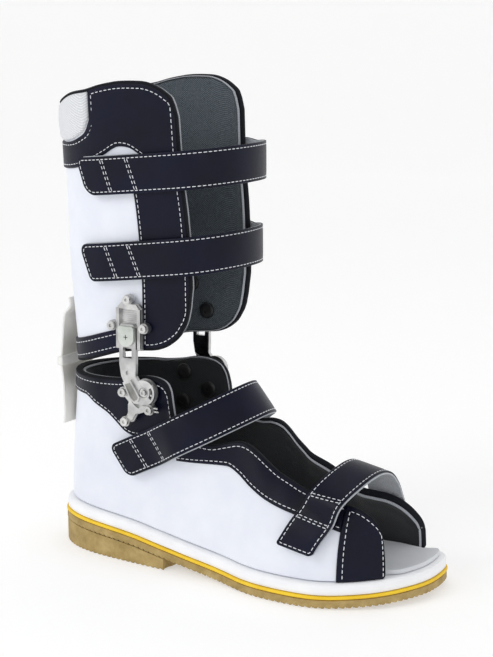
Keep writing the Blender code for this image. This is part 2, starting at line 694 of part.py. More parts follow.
def calf_path(rear_x, rear_z, nose_x, nose_z, root_x, offset):
    """Round the cuff: lateral wall, a free elliptic nose in front of the opening, medial wall."""
    knots = []
    turn = 64.0
    for k in range(6):
        x = rear_x + (turn - rear_x) * k / 5
        z = (rear_z + (nose_z - rear_z) * (x - rear_x) / (nose_x - rear_x)) * MM
        place = around_at(x, -1, z)
        point = cuff_point(place, z, offset)
        knots.append((point, (cuff_point(place, z, 1.0) - cuff_point(place, z, 0.0)).normalized()))
    start = knots[-1][0]
    for k in range(1, 10):
        angle = math.radians(-90 + 18 * k)
        x = start.x + (nose_x * MM - start.x) * math.cos(angle)
        z = (rear_z + (nose_z - rear_z) * (x / MM - rear_x) / (nose_x - rear_x)) * MM
        point = Vector((x, -start.y * math.sin(angle), z))
        knots.append((point, Vector((math.cos(angle), math.sin(angle), 0))))
    for k in range(5):
        x = turn + (root_x - turn) * k / 4
        z = (nose_z - 0.35 * (nose_x - x) * (nose_z - rear_z) / (nose_x - rear_x)) * MM
        place = around_at(x, 1, z)
        point = cuff_point(place, z, offset)
        knots.append((point, (cuff_point(place, z, 1.0) - cuff_point(place, z, 0.0)).normalized()))
    return knots


def calf_strap(name, rear_x, rear_z, nose_x, nose_z, root_x):
    """Calf strap: lateral tail, nose in front of the opening, root on the medial wall."""
    stations = frames(calf_path(rear_x, rear_z, nose_x, nose_z, root_x, STRAP_OFFSET), 2)
    strap(name, stations, 30, (1, 9))


def free(x, y, z, centre):
    """Knot of a strap that hangs free, facing away from a centre point (mm)."""
    point = Vector((x, y, z)) * MM
    return point, (point - Vector(centre) * MM).normalized()


def foot_strap(name, lateral, crossing, medial, centre, lift=0.0, stretch=1.0):
    """Strap over the open shoe: on the lateral wall, free over the foot, on the medial wall.

    lift is how much further the lateral end stands off, to pass over what lies in front of it;
    stretch widens the free part.
    """
    knots = [wall.on_wall(ahead(x), z, -1, STRAP_OFFSET + lift) for x, z in lateral]
    knots += [free(ahead(x), stretch * y, z, centre) for x, y, z in crossing]
    knots += [wall.on_wall(ahead(x), z, 1, STRAP_OFFSET) for x, z in medial]
    root_from = 3 * (len(knots) - len(medial))
    strap(name, frames(knots, 3), root_from, (1, 3 * len(lateral) - 2))


UPPER_STRAP = CUFF_TOP / MM - 62.0  # height of the upper strap's free end, mm
LOWER_STRAP = CUFF_BOTTOM / MM + 54.0
calf_strap("upper_calf", -4.0, UPPER_STRAP, 97.0, UPPER_STRAP + 11, 18.0)
calf_strap("lower_calf", -3.0, LOWER_STRAP, 95.0, LOWER_STRAP + 13, 18.0)
foot_strap("instep", ((19, 70.5), (34, 78), (48, 85)),
           ((66, -47.5, 94.5), (83, -39, 104), (97, -20, 112.5), (101, 2, 115.5), (95, 22, 112), (83, 38, 105)),
           ((66, 92), (56, 86), (45, 81)), (55, 0, 80), 0.9 * MM, ANKLE_WIDTH / DRAWN_HALF_ANKLE)
foot_strap("toe", ((159, 34), (164, 44), (169, 53)),
           ((175, -39, 68.5), (180, -23, 77.5), (182, -3, 81), (181, 15, 77), (179, 30, 67)),
           ((177, 49), (176, 41), (175, 33)), (170, 0, 20),
           0.012 * max(0.0, (HEEL_BACK + SOLE_LENGTH) - DRAWN_TOE * MM), wide(1.0))


# ---------------------------------------------------------------- metal parts
def plate(outline, back, thickness):
    """Solid prism from an outline in x-z (metres), standing away from the mid plane on the lateral side."""
    curve = bpy.data.curves.new("plate", "CURVE")
    curve.dimensions = "2D"
    curve.fill_mode = "BOTH"
    curve.extrude = thickness / 2
    spline = curve.splines.new("POLY")
    spline.points.add(len(outline) - 1)
    for item, (x, z) in zip(spline.points, outline):
        item.co = (x, z, 0, 1)
    spline.use_cyclic_u = True
    holder = bpy.data.objects.new("plate", curve)
    parts.objects.link(holder)
    bpy.context.view_layer.update()
    data = bpy.data.meshes.new_from_object(holder.evaluated_get(bpy.context.evaluated_depsgraph_get()))
    bpy.data.objects.remove(holder)
    mesh = bmesh.new()
    mesh.from_mesh(data)
    bmesh.ops.remove_doubles(mesh, verts=mesh.verts, dist=1e-7)
    bmesh.ops.transform(mesh, verts=mesh.verts, matrix=Matrix.Translation((0, -back - thickness / 2, 0))
                        @ Matrix.Rotation(math.radians(90), 4, "X"))
    bmesh.ops.recalc_face_normals(mesh, faces=mesh.faces)
    mesh.to_mesh(data)
    mesh.free()
    return data


def disc(x, z, radius, back, thickness, sides=20):
    """Round plate or hole standing on the lateral side."""
    return plate([p for p in arc((x, z), radius, 0, 360, sides)[:-1]], back, thickness)


def combine(base, others, operation):
    """Boolean of one mesh with several others; returns the new mesh."""
    target = bpy.data.objects.new("target", base)
    parts.objects.link(target)
    tools = []
    for other in others:
        tool = bpy.data.objects.new("tool", other)
        cutters.objects.link(tool)
        tools.append(tool)
        step = target.modifiers.new(operation, "BOOLEAN")
        step.operation = operation
        step.object = tool
    bpy.context.view_layer.update()
    data = bpy.data.meshes.new_from_object(target.evaluated_get(bpy.context.evaluated_depsgraph_get()))
    for item in [target] + tools:
        bpy.data.objects.remove(item)
    return data


def joined(meshes):
    """Several separate bodies as one mesh."""
    mesh = bmesh.new()
    for data in meshes:
        mesh.from_mesh(data)
    data = bpy.data.meshes.new("group")
    mesh.to_mesh(data)
    mesh.free()
    return data


def on_side(name, data, material, side, origin=None):
    """Place a metal piece, drawn for the lateral side, on either side."""
    copy = data.copy()
    if side > 0:
        copy.transform(Matrix.Scale(-1, 4, (0, 1, 0)))
        copy.flip_normals()
    made = add_part(name, copy, material)
    if origin is not None:
        set_origin(made, (origin[0], side * origin[1], origin[2]))


def on_both_sides(name, data, material, origin=None):
    for side_name, side in SIDES:
        on_side(side_name + "_" + name, data, material, side, origin)


PLATE_FRONT = PLATE_BACK + PLATE_THICKNESS
BOSS_FRONT = PLATE_FRONT + BODY_HEIGHT
LINK_BACK = PLATE_FRONT + GAP
LINK_FRONT = LINK_BACK + LINK_THICKNESS
ANKLE = (ANKLE_X, ANKLE_Z)


def mm(points):
    return [(x * MM, z * MM) for x, z in points]


def ears_at(places):
    """Round bosses of a plate, one for each screw."""
    return [disc(x * MM, z * MM, EAR_RADIUS, PLATE_BACK + STEP, BOSS_FRONT - PLATE_BACK - STEP, 14)
            for x, z in places]


def build_foot_plate():
    """Casting on the shoe: three ears, a round seat under the link's disc and a proud lower body."""
    web = plate(mm(((27, 123), (24.5, 118), (29.6, 113), (29.6, 107), (25.5, 101), (27, 98), (33.5, 100.6),
                    (36.5, 105.8), (41, 107.6), (47, 107.2), (49.5, 112), (46, 121), (36, 126))),
                PLATE_BACK, PLATE_THICKNESS)
    seat = disc(*ANKLE, DISC_RADIUS + 0.5 * MM, PLATE_BACK + STEP, PLATE_THICKNESS - 2 * STEP, 24)
    ears = ears_at(FOOT_SCREWS)
    clear = arc(ANKLE, 12.2 * MM, -156, -112, 5) + arc(ANKLE, DISC_RADIUS + 0.6 * MM, -100, -66, 5)
    body = plate(clear + mm(((45.8, 109), (41.2, 108.2), (36.2, 106.4), (33.2, 101.6), (29.6, 101.6),
                             (30.2, 107), (30.2, 112))),
                 PLATE_FRONT - 2 * STEP, BODY_HEIGHT + STEP)
    pin_x, pin_z = arc(ANKLE, STOP_PIN_CIRCLE, STOP_PIN_ANGLE, STOP_PIN_ANGLE + 1, 1)[0]
    pin = disc(pin_x, pin_z, STOP_PIN_RADIUS, PLATE_BACK + 2 * STEP, LINK_BACK + 2.0 * MM - PLATE_BACK, 10)
    solid = combine(web, [seat, body, pin] + ears, "UNION")
    holes = [disc(x * MM, z * MM, SCREW_RADIUS + GAP, PLATE_BACK - MM, 8 * MM, 8) for x, z in FOOT_SCREWS]
    holes.append(disc(*ANKLE, PIVOT_RADIUS + GAP, PLATE_BACK - MM, 5 * MM, 14))
    on_both_sides("foot_plate", combine(solid, holes, "DIFFERENCE"), satin_metal)


def build_link():
    """Upright link: slotted disc on the ankle pivot, tilted block, bar up into the bracket."""
    half = LINK_WIDTH / 2
    left, right = LINK_CENTRE - half, LINK_CENTRE + half
    top = CLAMP_Z + 8.4 * MM
    corner = 2.0 * MM
    bar = [(left, 139 * MM), (left, top - corner), (left + corner, top), (right - corner, top),
           (right, top - corner), (right, 139.5 * MM)]
    bar += mm(((36.9, 131.6), (42.5, 124), (42, 116), (38.6, 113.4), (35.2, 113.4), (33.4, 116.2), (28.9, 124.7),
               (25.6, 131)))
    body = plate(bar, LINK_BACK, LINK_THICKNESS)
    head = disc(*ANKLE, DISC_RADIUS, LINK_BACK + STEP, LINK_THICKNESS - 2 * STEP, 24)
    block = plate(mm(((27.6, 127), (33.6, 129.2), (40.9, 118.6), (39.6, 115.3), (36.6, 114), (33.4, 116.2))),
                  LINK_FRONT - 2 * STEP, BLOCK_HEIGHT + 2 * STEP)
    solid = combine(body, [head, block], "UNION")
    slot_width = 2 * (STOP_PIN_RADIUS + GAP)
    slot = (arc(ANKLE, STOP_PIN_CIRCLE - slot_width / 2, SLOT_START, SLOT_END, 8)
            + arc(ANKLE, STOP_PIN_CIRCLE + slot_width / 2, SLOT_END, SLOT_START, 8))
    window = mm(((27.2, 143.4), (34.0, 143.4), (34.0, 150.6), (27.2, 150.6)))
    pocket = mm(((29.2, 126), (33.3, 127.6), (39.6, 118.4), (38.8, 116.2), (36.6, 115.3), (34.2, 117)))
    far = LINK_BACK - MM
    cuts = [plate(slot, far, 8 * MM), plate(window, far, 8 * MM),
            plate(pocket, LINK_FRONT + BLOCK_HEIGHT - 0.8 * MM, 3 * MM),
            disc(*ANKLE, PIVOT_RADIUS + GAP + BUSH_WALL + GAP, far, 8 * MM, 18),
            disc(LINK_CENTRE, CLAMP_Z, CLAMP_RADIUS + GAP, far, 8 * MM, 14),
            disc(30.5 * MM, 133.4 * MM, 1.5 * MM, LINK_FRONT - 1.4 * MM, 4 * MM, 12)]
    on_both_sides("upright_link", combine(solid, cuts, "DIFFERENCE"), satin_metal, (ANKLE_X, LINK_BACK, ANKLE_Z))
    bush = combine(disc(*ANKLE, PIVOT_RADIUS + GAP + BUSH_WALL, LINK_BACK, LINK_THICKNESS - 0.3 * MM, 18),
                   [disc(*ANKLE, PIVOT_RADIUS + GAP, far, 8 * MM, 14)], "DIFFERENCE")
    on_both_sides("pivot_bushing", bush, satin_metal, (ANKLE_X, LINK_BACK, ANKLE_Z))


def hexagon(x, z, radius, back, depth):
    return plate(arc((x, z), radius, 30, 330, 5), back, depth)


def socket_screw(x, z, head_radius, head_back, head_height, shank_radius, shank_back):
    """Button-head screw: head, shank towards the mid plane and a hexagon socket."""
    solid = combine(disc(x, z, head_radius, head_back, head_height, 14),
                    [disc(x, z, shank_radius, shank_back, head_back - shank_back + 0.4 * MM, 8)], "UNION")
    socket = hexagon(x, z, SOCKET_RADIUS, head_back + head_height - SOCKET_DEPTH, 3 * MM)
    return combine(solid, [socket], "DIFFERENCE")


def build_pivot():
    screw = socket_screw(*ANKLE, PIVOT_RADIUS + 0.25 * MM, LINK_BACK + LINK_THICKNESS + GAP, 1.0 * MM,
                         PIVOT_RADIUS, PLATE_BACK + GAP)
    on_both_sides("pivot_screw", screw, satin_metal, (ANKLE_X, LINK_BACK, ANKLE_Z))


BRACKET_LOW = 149.0 * MM
BRACKET_HIGH = 179.5 * MM
RIB_WIDTH = 2.7 * MM
TEETH = 7


def build_bracket():
    """Bracket on the cuff: guide ribs each side of the link, three ears and a toothed slide face."""
    inner = LINK_WIDTH / 2 + 0.5 * MM
    outer = inner + RIB_WIDTH
    left, right = LINK_CENTRE - outer, LINK_CENTRE + outer
    base = plate([(left, BRACKET_LOW), (right, BRACKET_LOW), (right, BRACKET_HIGH - 3 * MM),
                  (right - 3 * MM, BRACKET_HIGH), (left + 3 * MM, BRACKET_HIGH), (left, BRACKET_HIGH - 3 * MM)],
                 PLATE_BACK, PLATE_THICKNESS)
    rib_back = PLATE_FRONT - 2 * STEP
    rib_height = BODY_HEIGHT + STEP
    pieces = []
    for side in (-1, 1):
        a, b = LINK_CENTRE + side * inner, LINK_CENTRE + side * (outer - STEP)
        low, high = min(a, b), max(a, b)
        pieces.append(plate([(low, BRACKET_LOW + STEP), (high, BRACKET_LOW + STEP),
                             (high, BRACKET_HIGH - 3.4 * MM), (low, BRACKET_HIGH - 3.4 * MM)],
                            rib_back, rib_height))
    pieces.append(plate([(left + MM, BRACKET_HIGH - 3.8 * MM), (right - MM, BRACKET_HIGH - 3.8 * MM),
                         (right - 3.4 * MM, BRACKET_HIGH - 0.3 * MM), (left + 3.4 * MM, BRACKET_HIGH - 0.3 * MM)],
                        rib_back, rib_height - STEP))
    pieces += ears_at(BRACKET_SCREWS)
    solid = combine(base, pieces, "UNION")
    slot_radius = CLAMP_RADIUS + GAP
    low_end, high_end = CLAMP_Z - HEIGHT_UP, CLAMP_Z + HEIGHT_DOWN
    slot = (arc((LINK_CENTRE, high_end), slot_radius, 0, 180, 8)
            + arc((LINK_CENTRE, low_end), slot_radius, 180, 360, 8))
    cuts = [plate(slot, PLATE_BACK - MM, 5 * MM)]
    for k in range(TEETH):
        z = 166.6 * MM + k * 1.3 * MM
        cuts.append(plate([(LINK_CENTRE - inner + 0.6 * MM, z), (LINK_CENTRE + inner - 0.6 * MM, z),
                           (LINK_CENTRE + inner - 0.6 * MM, z + 0.65 * MM),
                           (LINK_CENTRE - inner + 0.6 * MM, z + 0.65 * MM)], PLATE_FRONT - 0.6 * MM, 3 * MM))
    for x, z in BRACKET_SCREWS:
        cuts.append(disc(x * MM, z * MM, SCREW_RADIUS + GAP, PLATE_BACK - MM, 8 * MM, 8))
    on_both_sides("bracket", combine(solid, cuts, "DIFFERENCE"), satin_metal)


def build_clamp():
    """Clamp cover over the link, with the clamp shaft through link and bracket slot."""
    half = LINK_WIDTH / 2 - 0.4 * MM
    low, high = CLAMP_Z - 0.2 * MM, CLAMP_Z + 7.0 * MM
    outline = arc((LINK_CENTRE, low), half, 180, 360, 14)
    outline += [(LINK_CENTRE + half, high - MM), (LINK_CENTRE + half - MM, high),
                (LINK_CENTRE - half + MM, high), (LINK_CENTRE - half, high - MM)]
    cover = plate(outline, LINK_FRONT + GAP, 1.8 * MM)
    shaft = disc(LINK_CENTRE, CLAMP_Z, CLAMP_RADIUS, PLATE_BACK + GAP, LINK_FRONT - PLATE_BACK + 0.4 * MM, 14)
    on_both_sides("clamp_cover", combine(cover, [shaft], "UNION"), satin_metal, (LINK_CENTRE, LINK_BACK, CLAMP_Z))


def clear_depth(reach, x, z, side):
    """Smallest distance from the mid plane that reach(x, z, side) gives over a nut's footprint."""
    spots = [(x, z)] + [(x + NUT_RADIUS / MM * math.cos(a), z + NUT_RADIUS / MM * math.sin(a))
                        for a in (k * math.pi / 4 for k in range(8))]
    return min(reach(px, pz, side) for px, pz in spots)


def shoe_depth(x, z, side):
    top = between(((-10, COLLAR - 7), (58, COLLAR - 2)), x)
    return abs(wall.on_wall(x, min(z, top), side, LINING_INNER_SHOE)[0].y)


def cuff_depth(x, z, side):
    return abs(cuff_point(around_at(x, side, z * MM), z * MM, -GAP - CUFF_PADDING).y)


def build_bolts(name, places, reach, shells):
    """Bolts through a plate and its wall, each with its round nut on the lining; cuts the shells' holes."""
    holes = []
    for number, (x, z) in enumerate(places, 1):
        for side_name, side in SIDES:
            nut_front = clear_depth(reach, x, z, side) - 2 * GAP
            nut_back = nut_front - NUT_THICKNESS
            screw = socket_screw(x * MM, z * MM, SCREW_HEAD_RADIUS, BOSS_FRONT + GAP, SCREW_HEAD_HEIGHT,
                                 SCREW_RADIUS, nut_back + STEP)
            nut = disc(x * MM, z * MM, NUT_RADIUS, nut_back, NUT_THICKNESS, 14)
            on_side("%s_%s_bolt_%d" % (side_name, name, number), combine(screw, [nut], "UNION"),
                    satin_metal, side)
        holes.append(disc(x * MM, z * MM, SCREW_RADIUS + 2 * GAP, nut_back / 2, PLATE_BACK - nut_back / 2, 8))
    near = joined(holes)
    far = near.copy()
    far.transform(Matrix.Scale(-1, 4, (0, 1, 0)))
    far.flip_normals()
    cutter = bpy.data.objects.new(name + "_holes", joined([near, far]))
    cutters.objects.link(cutter)
    cutter.hide_render = True
    cutter.display_type = "WIRE"
    for target in shells:
        cut = bpy.data.objects[target].modifiers.new("bolt_holes", "BOOLEAN")
        cut.operation = "DIFFERENCE"
        cut.object = cutter


build_foot_plate()
build_link()
build_pivot()
build_bracket()
build_clamp()
build_bolts("foot_plate", FOOT_SCREWS, shoe_depth, ("shoe_quarters", "shoe_lining", "ankle_collar_overlay"))
build_bolts("bracket", BRACKET_SCREWS, cuff_depth,
            ("cuff_shell", "cuff_lining", "lateral_front_facing", "medial_front_facing"))


# ---------------------------------------------------------------- rear elastic
SLIDER_X, SLIDER_Z = -44.2, 127.8   # mm
UPPER_BOW = ((162, -40.6), (155, -42.2), (147, -42.8), (139, -43.5), (131.4, -44.2))     # z, x mm
LOWER_BOW = ((124.2, -44.2), (118, -43.3), (110, -42.6), (102, -42.4), (96, -42.2))
UPPER_SEAM = (173.0, 167.0)         # heights between which the ends lie on cuff and shoe, mm
LOWER_SEAM = (90.0, 84.0)


def build_elastic():
    """White elastic behind the heel, sewn to cuff and shoe and joined by a slider."""
    rest = LEATHER + GAP + ELASTIC_THICKNESS / 2
    upper = [(cuff_point(0.5, z * MM, rest).x / MM, z) for z in UPPER_SEAM] + [(x, z) for z, x in UPPER_BOW]
    heel = len(LATERAL_RIM) + 6.0
    lower = [(x, z) for z, x in LOWER_BOW]
    for z in LOWER_SEAM:
        lower.append((wall.point(heel, wall.share_at_height(heel, z * MM), rest)[0].x / MM, z))
    for name, line in (("rear_elastic_upper", upper), ("rear_elastic_lower", lower)):
        knots = [(Vector((x * MM, 0, z * MM)), Vector((-1, 0, 0))) for x, z in line]
        band(name, elastic_web, frames(knots, 2), ELASTIC_WIDTH, ELASTIC_THICKNESS)
    bpy.ops.mesh.primitive_cube_add(size=1)
    box = bpy.context.object
    box.name = "slider_blank"
    data = box.data
    data.transform(Matrix.Diagonal((SLIDER_DEPTH, ELASTIC_WIDTH + 4 * MM, SLIDER_HEIGHT, 1)))
    bpy.data.objects.remove(box)
    slider = add_part("rear_elastic_slider", data, clear_plastic)
    slider.location = (SLIDER_X * MM, 0, SLIDER_Z * MM)
    bevel = slider.modifiers.new("rounded", "BEVEL")
    bevel.width = 1.2 * MM
    bevel.segments = 2


build_elastic()
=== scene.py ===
"""Ankle foot orthosis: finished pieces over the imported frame, in the order in which the object is made."""
import math

import bmesh
import bpy
import numpy as np
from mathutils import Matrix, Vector


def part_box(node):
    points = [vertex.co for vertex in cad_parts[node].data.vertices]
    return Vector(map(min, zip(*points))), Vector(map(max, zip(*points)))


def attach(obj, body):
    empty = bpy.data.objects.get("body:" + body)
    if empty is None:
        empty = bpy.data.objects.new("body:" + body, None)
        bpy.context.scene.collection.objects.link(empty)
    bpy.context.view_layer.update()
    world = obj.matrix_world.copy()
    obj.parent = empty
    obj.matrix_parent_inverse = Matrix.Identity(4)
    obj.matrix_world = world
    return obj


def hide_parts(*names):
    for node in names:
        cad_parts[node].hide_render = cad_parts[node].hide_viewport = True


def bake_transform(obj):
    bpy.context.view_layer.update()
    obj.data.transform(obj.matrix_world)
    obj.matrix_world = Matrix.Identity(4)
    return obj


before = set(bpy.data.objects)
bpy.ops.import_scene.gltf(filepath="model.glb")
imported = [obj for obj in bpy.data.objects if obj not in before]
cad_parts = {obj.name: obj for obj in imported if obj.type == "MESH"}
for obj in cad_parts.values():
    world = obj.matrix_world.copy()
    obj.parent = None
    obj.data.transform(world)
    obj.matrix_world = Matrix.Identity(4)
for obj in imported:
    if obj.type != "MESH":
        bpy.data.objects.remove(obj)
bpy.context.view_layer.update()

MM = 0.001

# ---------------------------------------------------------------- outsole and heel
# Tan microcellular rubber, sawn to the outline and ground at the edge. The ground side has a
# moulded ripple whose ends show as a row of notches along the lower edge.
SOLE_LENGTH, HEEL_BACK, HALF_BALL = 277.0, -49.0, 54.7
SOLE_KNOTS = np.array((
    (0.0, 0.0), (0.035, -0.35), (0.13, -0.60), (0.30, -0.71), (0.50, -0.77), (0.66, -0.98), (0.80, -0.97),
    (0.90, -0.73), (0.965, -0.37), (1.0, 0.12), (0.985, 0.70), (0.92, 0.93), (0.80, 1.01), (0.68, 0.93),
    (0.50, 0.70), (0.30, 0.56), (0.13, 0.58), (0.035, 0.36)))
SEAT_KNOTS = ((0.0, 24.2), (0.15, 22.9), (0.28, 20.0), (0.37, 15.9), (0.45, 12.2), (0.53, 9.6),
              (0.62, 8.0), (0.78, 8.0), (0.90, 9.6), (1.0, 12.0))
FIT = 0.3                                # gap between the layers, mm
OUTSOLE, ACCENT, WELT, INSOLE = 5.5, 2.2, 7.7, 3.0
HEEL_FRONT = 53.0                        # x of the heel's breast, mm
RIPPLE = 1.3, 4.3                        # depth and pitch of the ripple, mm


def closed_curve(knots, steps):
    """Catmull-Rom ring: each span is the cubic that passes its knots along their neighbours' chord."""
    p0, p1, p2, p3 = (np.roll(knots, shift, 0)[:, None] for shift in (1, 0, -1, -2))
    t = np.linspace(0, 1, steps, endpoint=False)[None, :, None]
    curve = 0.5 * (2 * p1 + (p2 - p0) * t + (2 * p0 - 5 * p1 + 4 * p2 - p3) * t ** 2
                   + (3 * p1 - p0 - 3 * p2 + p3) * t ** 3)
    return curve.reshape(-1, knots.shape[1])


def through(knots, x):
    """Smooth line through (x, value) knots: on each span the cubic Hermite with neighbours' mean slopes."""
    knots = np.asarray(knots, float)
    kx, ky = knots[:, 0], knots[:, 1]
    steps = np.diff(ky) / np.diff(kx)
    slope = np.concatenate(([steps[0]], np.where(steps[:-1] * steps[1:] > 0, (steps[:-1] + steps[1:]) / 2, 0),
                            [steps[-1]]))
    x = np.clip(np.asarray(x, float), kx[0], kx[-1])
    i = np.clip(np.searchsorted(kx, x) - 1, 0, len(kx) - 2)
    h = kx[i + 1] - kx[i]
    t = (x - kx[i]) / h
    return ((2 * t ** 3 - 3 * t ** 2 + 1) * ky[i] + (t ** 3 - 2 * t ** 2 + t) * h * slope[i]
            + (3 * t ** 2 - 2 * t ** 3) * ky[i + 1] + (t ** 3 - t ** 2) * h * slope[i + 1])


outline = closed_curve(SOLE_KNOTS * (SOLE_LENGTH, HALF_BALL) + (HEEL_BACK, 0), 40)
outline_share = (outline[:, 0] - HEEL_BACK) / SOLE_LENGTH
along_outline = np.roll(outline, -1, 0) - np.roll(outline, 1, 0)
inward = np.stack((-along_outline[:, 1], along_outline[:, 0]), 1)
inward /= np.linalg.norm(inward, axis=1, keepdims=True)


def sides(inset):
    """The outline moved inwards along its normals, as a lateral and a medial run from heel to toe."""
    ring = outline + inward * np.broadcast_to(inset, len(outline))[:, None]
    ring = np.roll(ring, -int(ring[:, 0].argmin()), 0)
    half = int(ring[:, 0].argmax())
    runs = ring[:half + 1], np.vstack((ring[:1], ring[:half - 1:-1]))
    return [run[np.concatenate(([True], np.diff(np.maximum.accumulate(run[:, 0])) > 1e-6))] for run in runs]


def seat(x):
    """Height of the upper face of the accent layer along the foot, from the knots of the sole's side."""
    return through(SEAT_KNOTS, (np.asarray(x) - HEEL_BACK) / SOLE_LENGTH)


def quads(rows, columns, wrap=False):
    """Faces of a grid whose points are numbered row by row; wrap joins the last column to the first."""
    i, j = np.meshgrid(np.arange(rows - 1), np.arange(columns if wrap else columns - 1), indexing="ij")
    k = (j + 1) % columns
    return np.stack((i * columns + j, i * columns + k, (i + 1) * columns + k, (i + 1) * columns + j),
                    -1).reshape(-1, 4)


def piece(name, points, faces, finish, sharp=42, run=None):
    """Mesh in millimetres as one piece: doubles merged, faces turned outwards and finish set."""
    mesh = bpy.data.meshes.new(name)
    mesh.from_pydata((np.asarray(points) * MM).tolist(), [], [list(f) for f in faces])
    if run is not None:
        mesh.attributes.new("run", "FLOAT_VECTOR", "POINT").data.foreach_set(
            "vector", np.asarray(run, np.float32).ravel())
    work = bmesh.new()
    work.from_mesh(mesh)
    bmesh.ops.remove_doubles(work, verts=work.verts, dist=2e-6)
    bmesh.ops.dissolve_degenerate(work, edges=work.edges, dist=1e-7)
    bmesh.ops.recalc_face_normals(work, faces=work.faces)
    work.to_mesh(mesh)
    work.free()
    mesh.shade_smooth()
    mesh.set_sharp_from_angle(angle=math.radians(sharp))
    made = bpy.data.objects.new(name, mesh)
    bpy.context.scene.collection.objects.link(made)
    mesh.materials.append(finish)
    return made


def srgb(colour):
    """Linear colour of an sRGB hex value, by the sRGB transfer curve."""
    channels = np.array([int(colour[i:i + 2], 16) for i in (0, 2, 4)]) / 255
    return (*np.where(channels <= 0.04045, channels / 12.92, ((channels + 0.055) / 1.055) ** 2.4), 1.0)


def add(tree, kind, inputs=None, **settings):
    """Adds one shader node: settings are its properties; inputs are values or sockets to link."""
    made = tree.nodes.new("ShaderNode" + kind)
    for key, value in settings.items():
        setattr(made, key, value)
    for key, value in (inputs or {}).items():
        if isinstance(value, bpy.types.NodeSocket):
            tree.links.new(value, made.inputs[key])
        else:
            made.inputs[key].default_value = value
    return made


def new_finish(name, **shader_values):
    """Principled material by its maker's name; returns it with its node tree and shader."""
    made = bpy.data.materials.new(name)
    made.use_nodes = True
    shader = made.node_tree.nodes["Principled BSDF"]
    for key, value in shader_values.items():
        shader.inputs[key.replace("_", " ")].default_value = value
    return made, made.node_tree, shader


def ramp(tree, fac, *stops):
    """Colour ramp through (place, hex) stops."""
    made = add(tree, "ValToRGB", {"Fac": fac})
    for place, _ in stops[2:]:
        made.color_ramp.elements.new(place)
    for element, (place, colour) in zip(made.color_ramp.elements, sorted(stops)):
        element.position = place
        element.color = srgb(colour)
    return made.outputs["Color"]


def tan_rubber():
    """Microcellular rubber, moulded and ground: matt, mottled, with open pores about 0.4 mm wide."""
    made, tree, shader = new_finish("tan_microcellular_rubber", Roughness=0.72)
    where = add(tree, "TexCoord").outputs["Object"]
    mottle = add(tree, "TexNoise", {"Vector": where, "Scale": 90.0, "Detail": 6.0, "Roughness": 0.65})
    pores = add(tree, "TexVoronoi", {"Vector": where, "Scale": 900.0, "Randomness": 1.0})
    colour = ramp(tree, mottle.outputs["Fac"], (0.3, "8F7844"), (0.72, "BCA56E"), (0.5, "A88F58"))
    tree.links.new(colour, shader.inputs["Base Color"])
    height = add(tree, "Math", {0: pores.outputs["Distance"], 1: mottle.outputs["Fac"]}, operation="ADD")
    bump = add(tree, "Bump", {"Height": height.outputs[0], "Strength": 0.45, "Distance": 0.0003})
    tree.links.new(bump.outputs["Normal"], shader.inputs["Normal"])
    return made


def sole_layer(name, finish, rows, low, high, front=None, stations=220, notch=None, line=0.0):
    """Sole layer as stations along X, each a closed section.

    rows are (inset, share of the height, rise) up the side; every row follows its own inset outline,
    with stations spaced as x = mid - half cos(pi t), so that heel and toe stay round. notch is the
    depth and pitch of a ripple cut into the first rows, as depth * sin^2 over the arc length; line
    is an inset of the whole layer, which may change along the outline.
    """
    t = 0.5 - 0.5 * np.cos(np.pi * np.linspace(0, 1, stations))
    if front is not None:
        t = 1 - np.cos(0.5 * np.pi * np.linspace(0, 1, stations))
    cap = np.linspace(0, 1, 9)[1:-1]
    edges = []
    for count, (inset, share, rise) in enumerate(rows):
        pair = []
        for run in sides(line + inset):
            last = front if front is not None else run[-1, 0]
            x = run[0, 0] + (last - run[0, 0]) * t
            y = np.interp(x, run[:, 0], run[:, 1])
            z = low(x) + share * (high(x) - low(x)) + rise
            if notch and count < 3:
                arc = np.concatenate(([0], np.cumsum(np.hypot(np.diff(x), np.diff(y)))))
                z = z + notch[0] * np.clip(1.6 * np.sin(np.pi * arc / notch[1]) ** 2 - 0.5, 0, 1)
            pair.append(np.stack((x, y, z), 1))
        pair[1][0], pair[1][-1] = pair[0][0], (pair[0][-1] if front is None else pair[1][-1])
        edges.append(pair)
    first, last = edges[0], edges[-1]
    under = [first[1] + (first[0] - first[1]) * k for k in cap]
    over = [last[0] + (last[1] - last[0]) * k for k in cap]
    for line in under:
        line[:, 2] = low(line[:, 0]) + rows[0][2]
    grid = np.stack(under + [e[0] for e in edges] + over + [e[1] for e in reversed(edges)], 1)
    faces = quads(*grid.shape[:2], wrap=True).tolist()
    if front is not None:
        faces.append(list(range((stations - 1) * grid.shape[1], stations * grid.shape[1])))
    made = piece(name, grid.reshape(-1, 3), faces, finish)
    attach(made, "shoe")
    return made


def outsole_top(x):
    """Upper face of the outsole, one gap under the accent layer."""
    return seat(x) - ACCENT - FIT


def outsole_under(x):
    """Lower face of the outsole."""
    return outsole_top(x) - OUTSOLE


rubber = tan_rubber()
outsole = sole_layer("outsole_finished", rubber,
                     ((3.0, 0, 0.0), (1.0, 0, 0.0), (0.35, 0.1, 0), (0.3, 0.5, 0), (0.5, 0.93, 0),
                      (1.2, 1.0, 0)),
                     outsole_under, outsole_top, stations=900, notch=RIPPLE)
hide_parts("outsole")
heel = sole_layer("heel_finished", rubber,
                  ((3.0, 0, 0.0), (1.2, 0, 0.0), (0.7, 0.08, 0), (0.6, 0.5, 0), (0.6, 0.97, 0),
                   (0.9, 1.0, 0)),
                  lambda x: 0.0 * x, lambda x: outsole_under(x) - FIT, front=HEEL_FRONT, stations=420,
                  notch=RIPPLE)
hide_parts("heel_block")


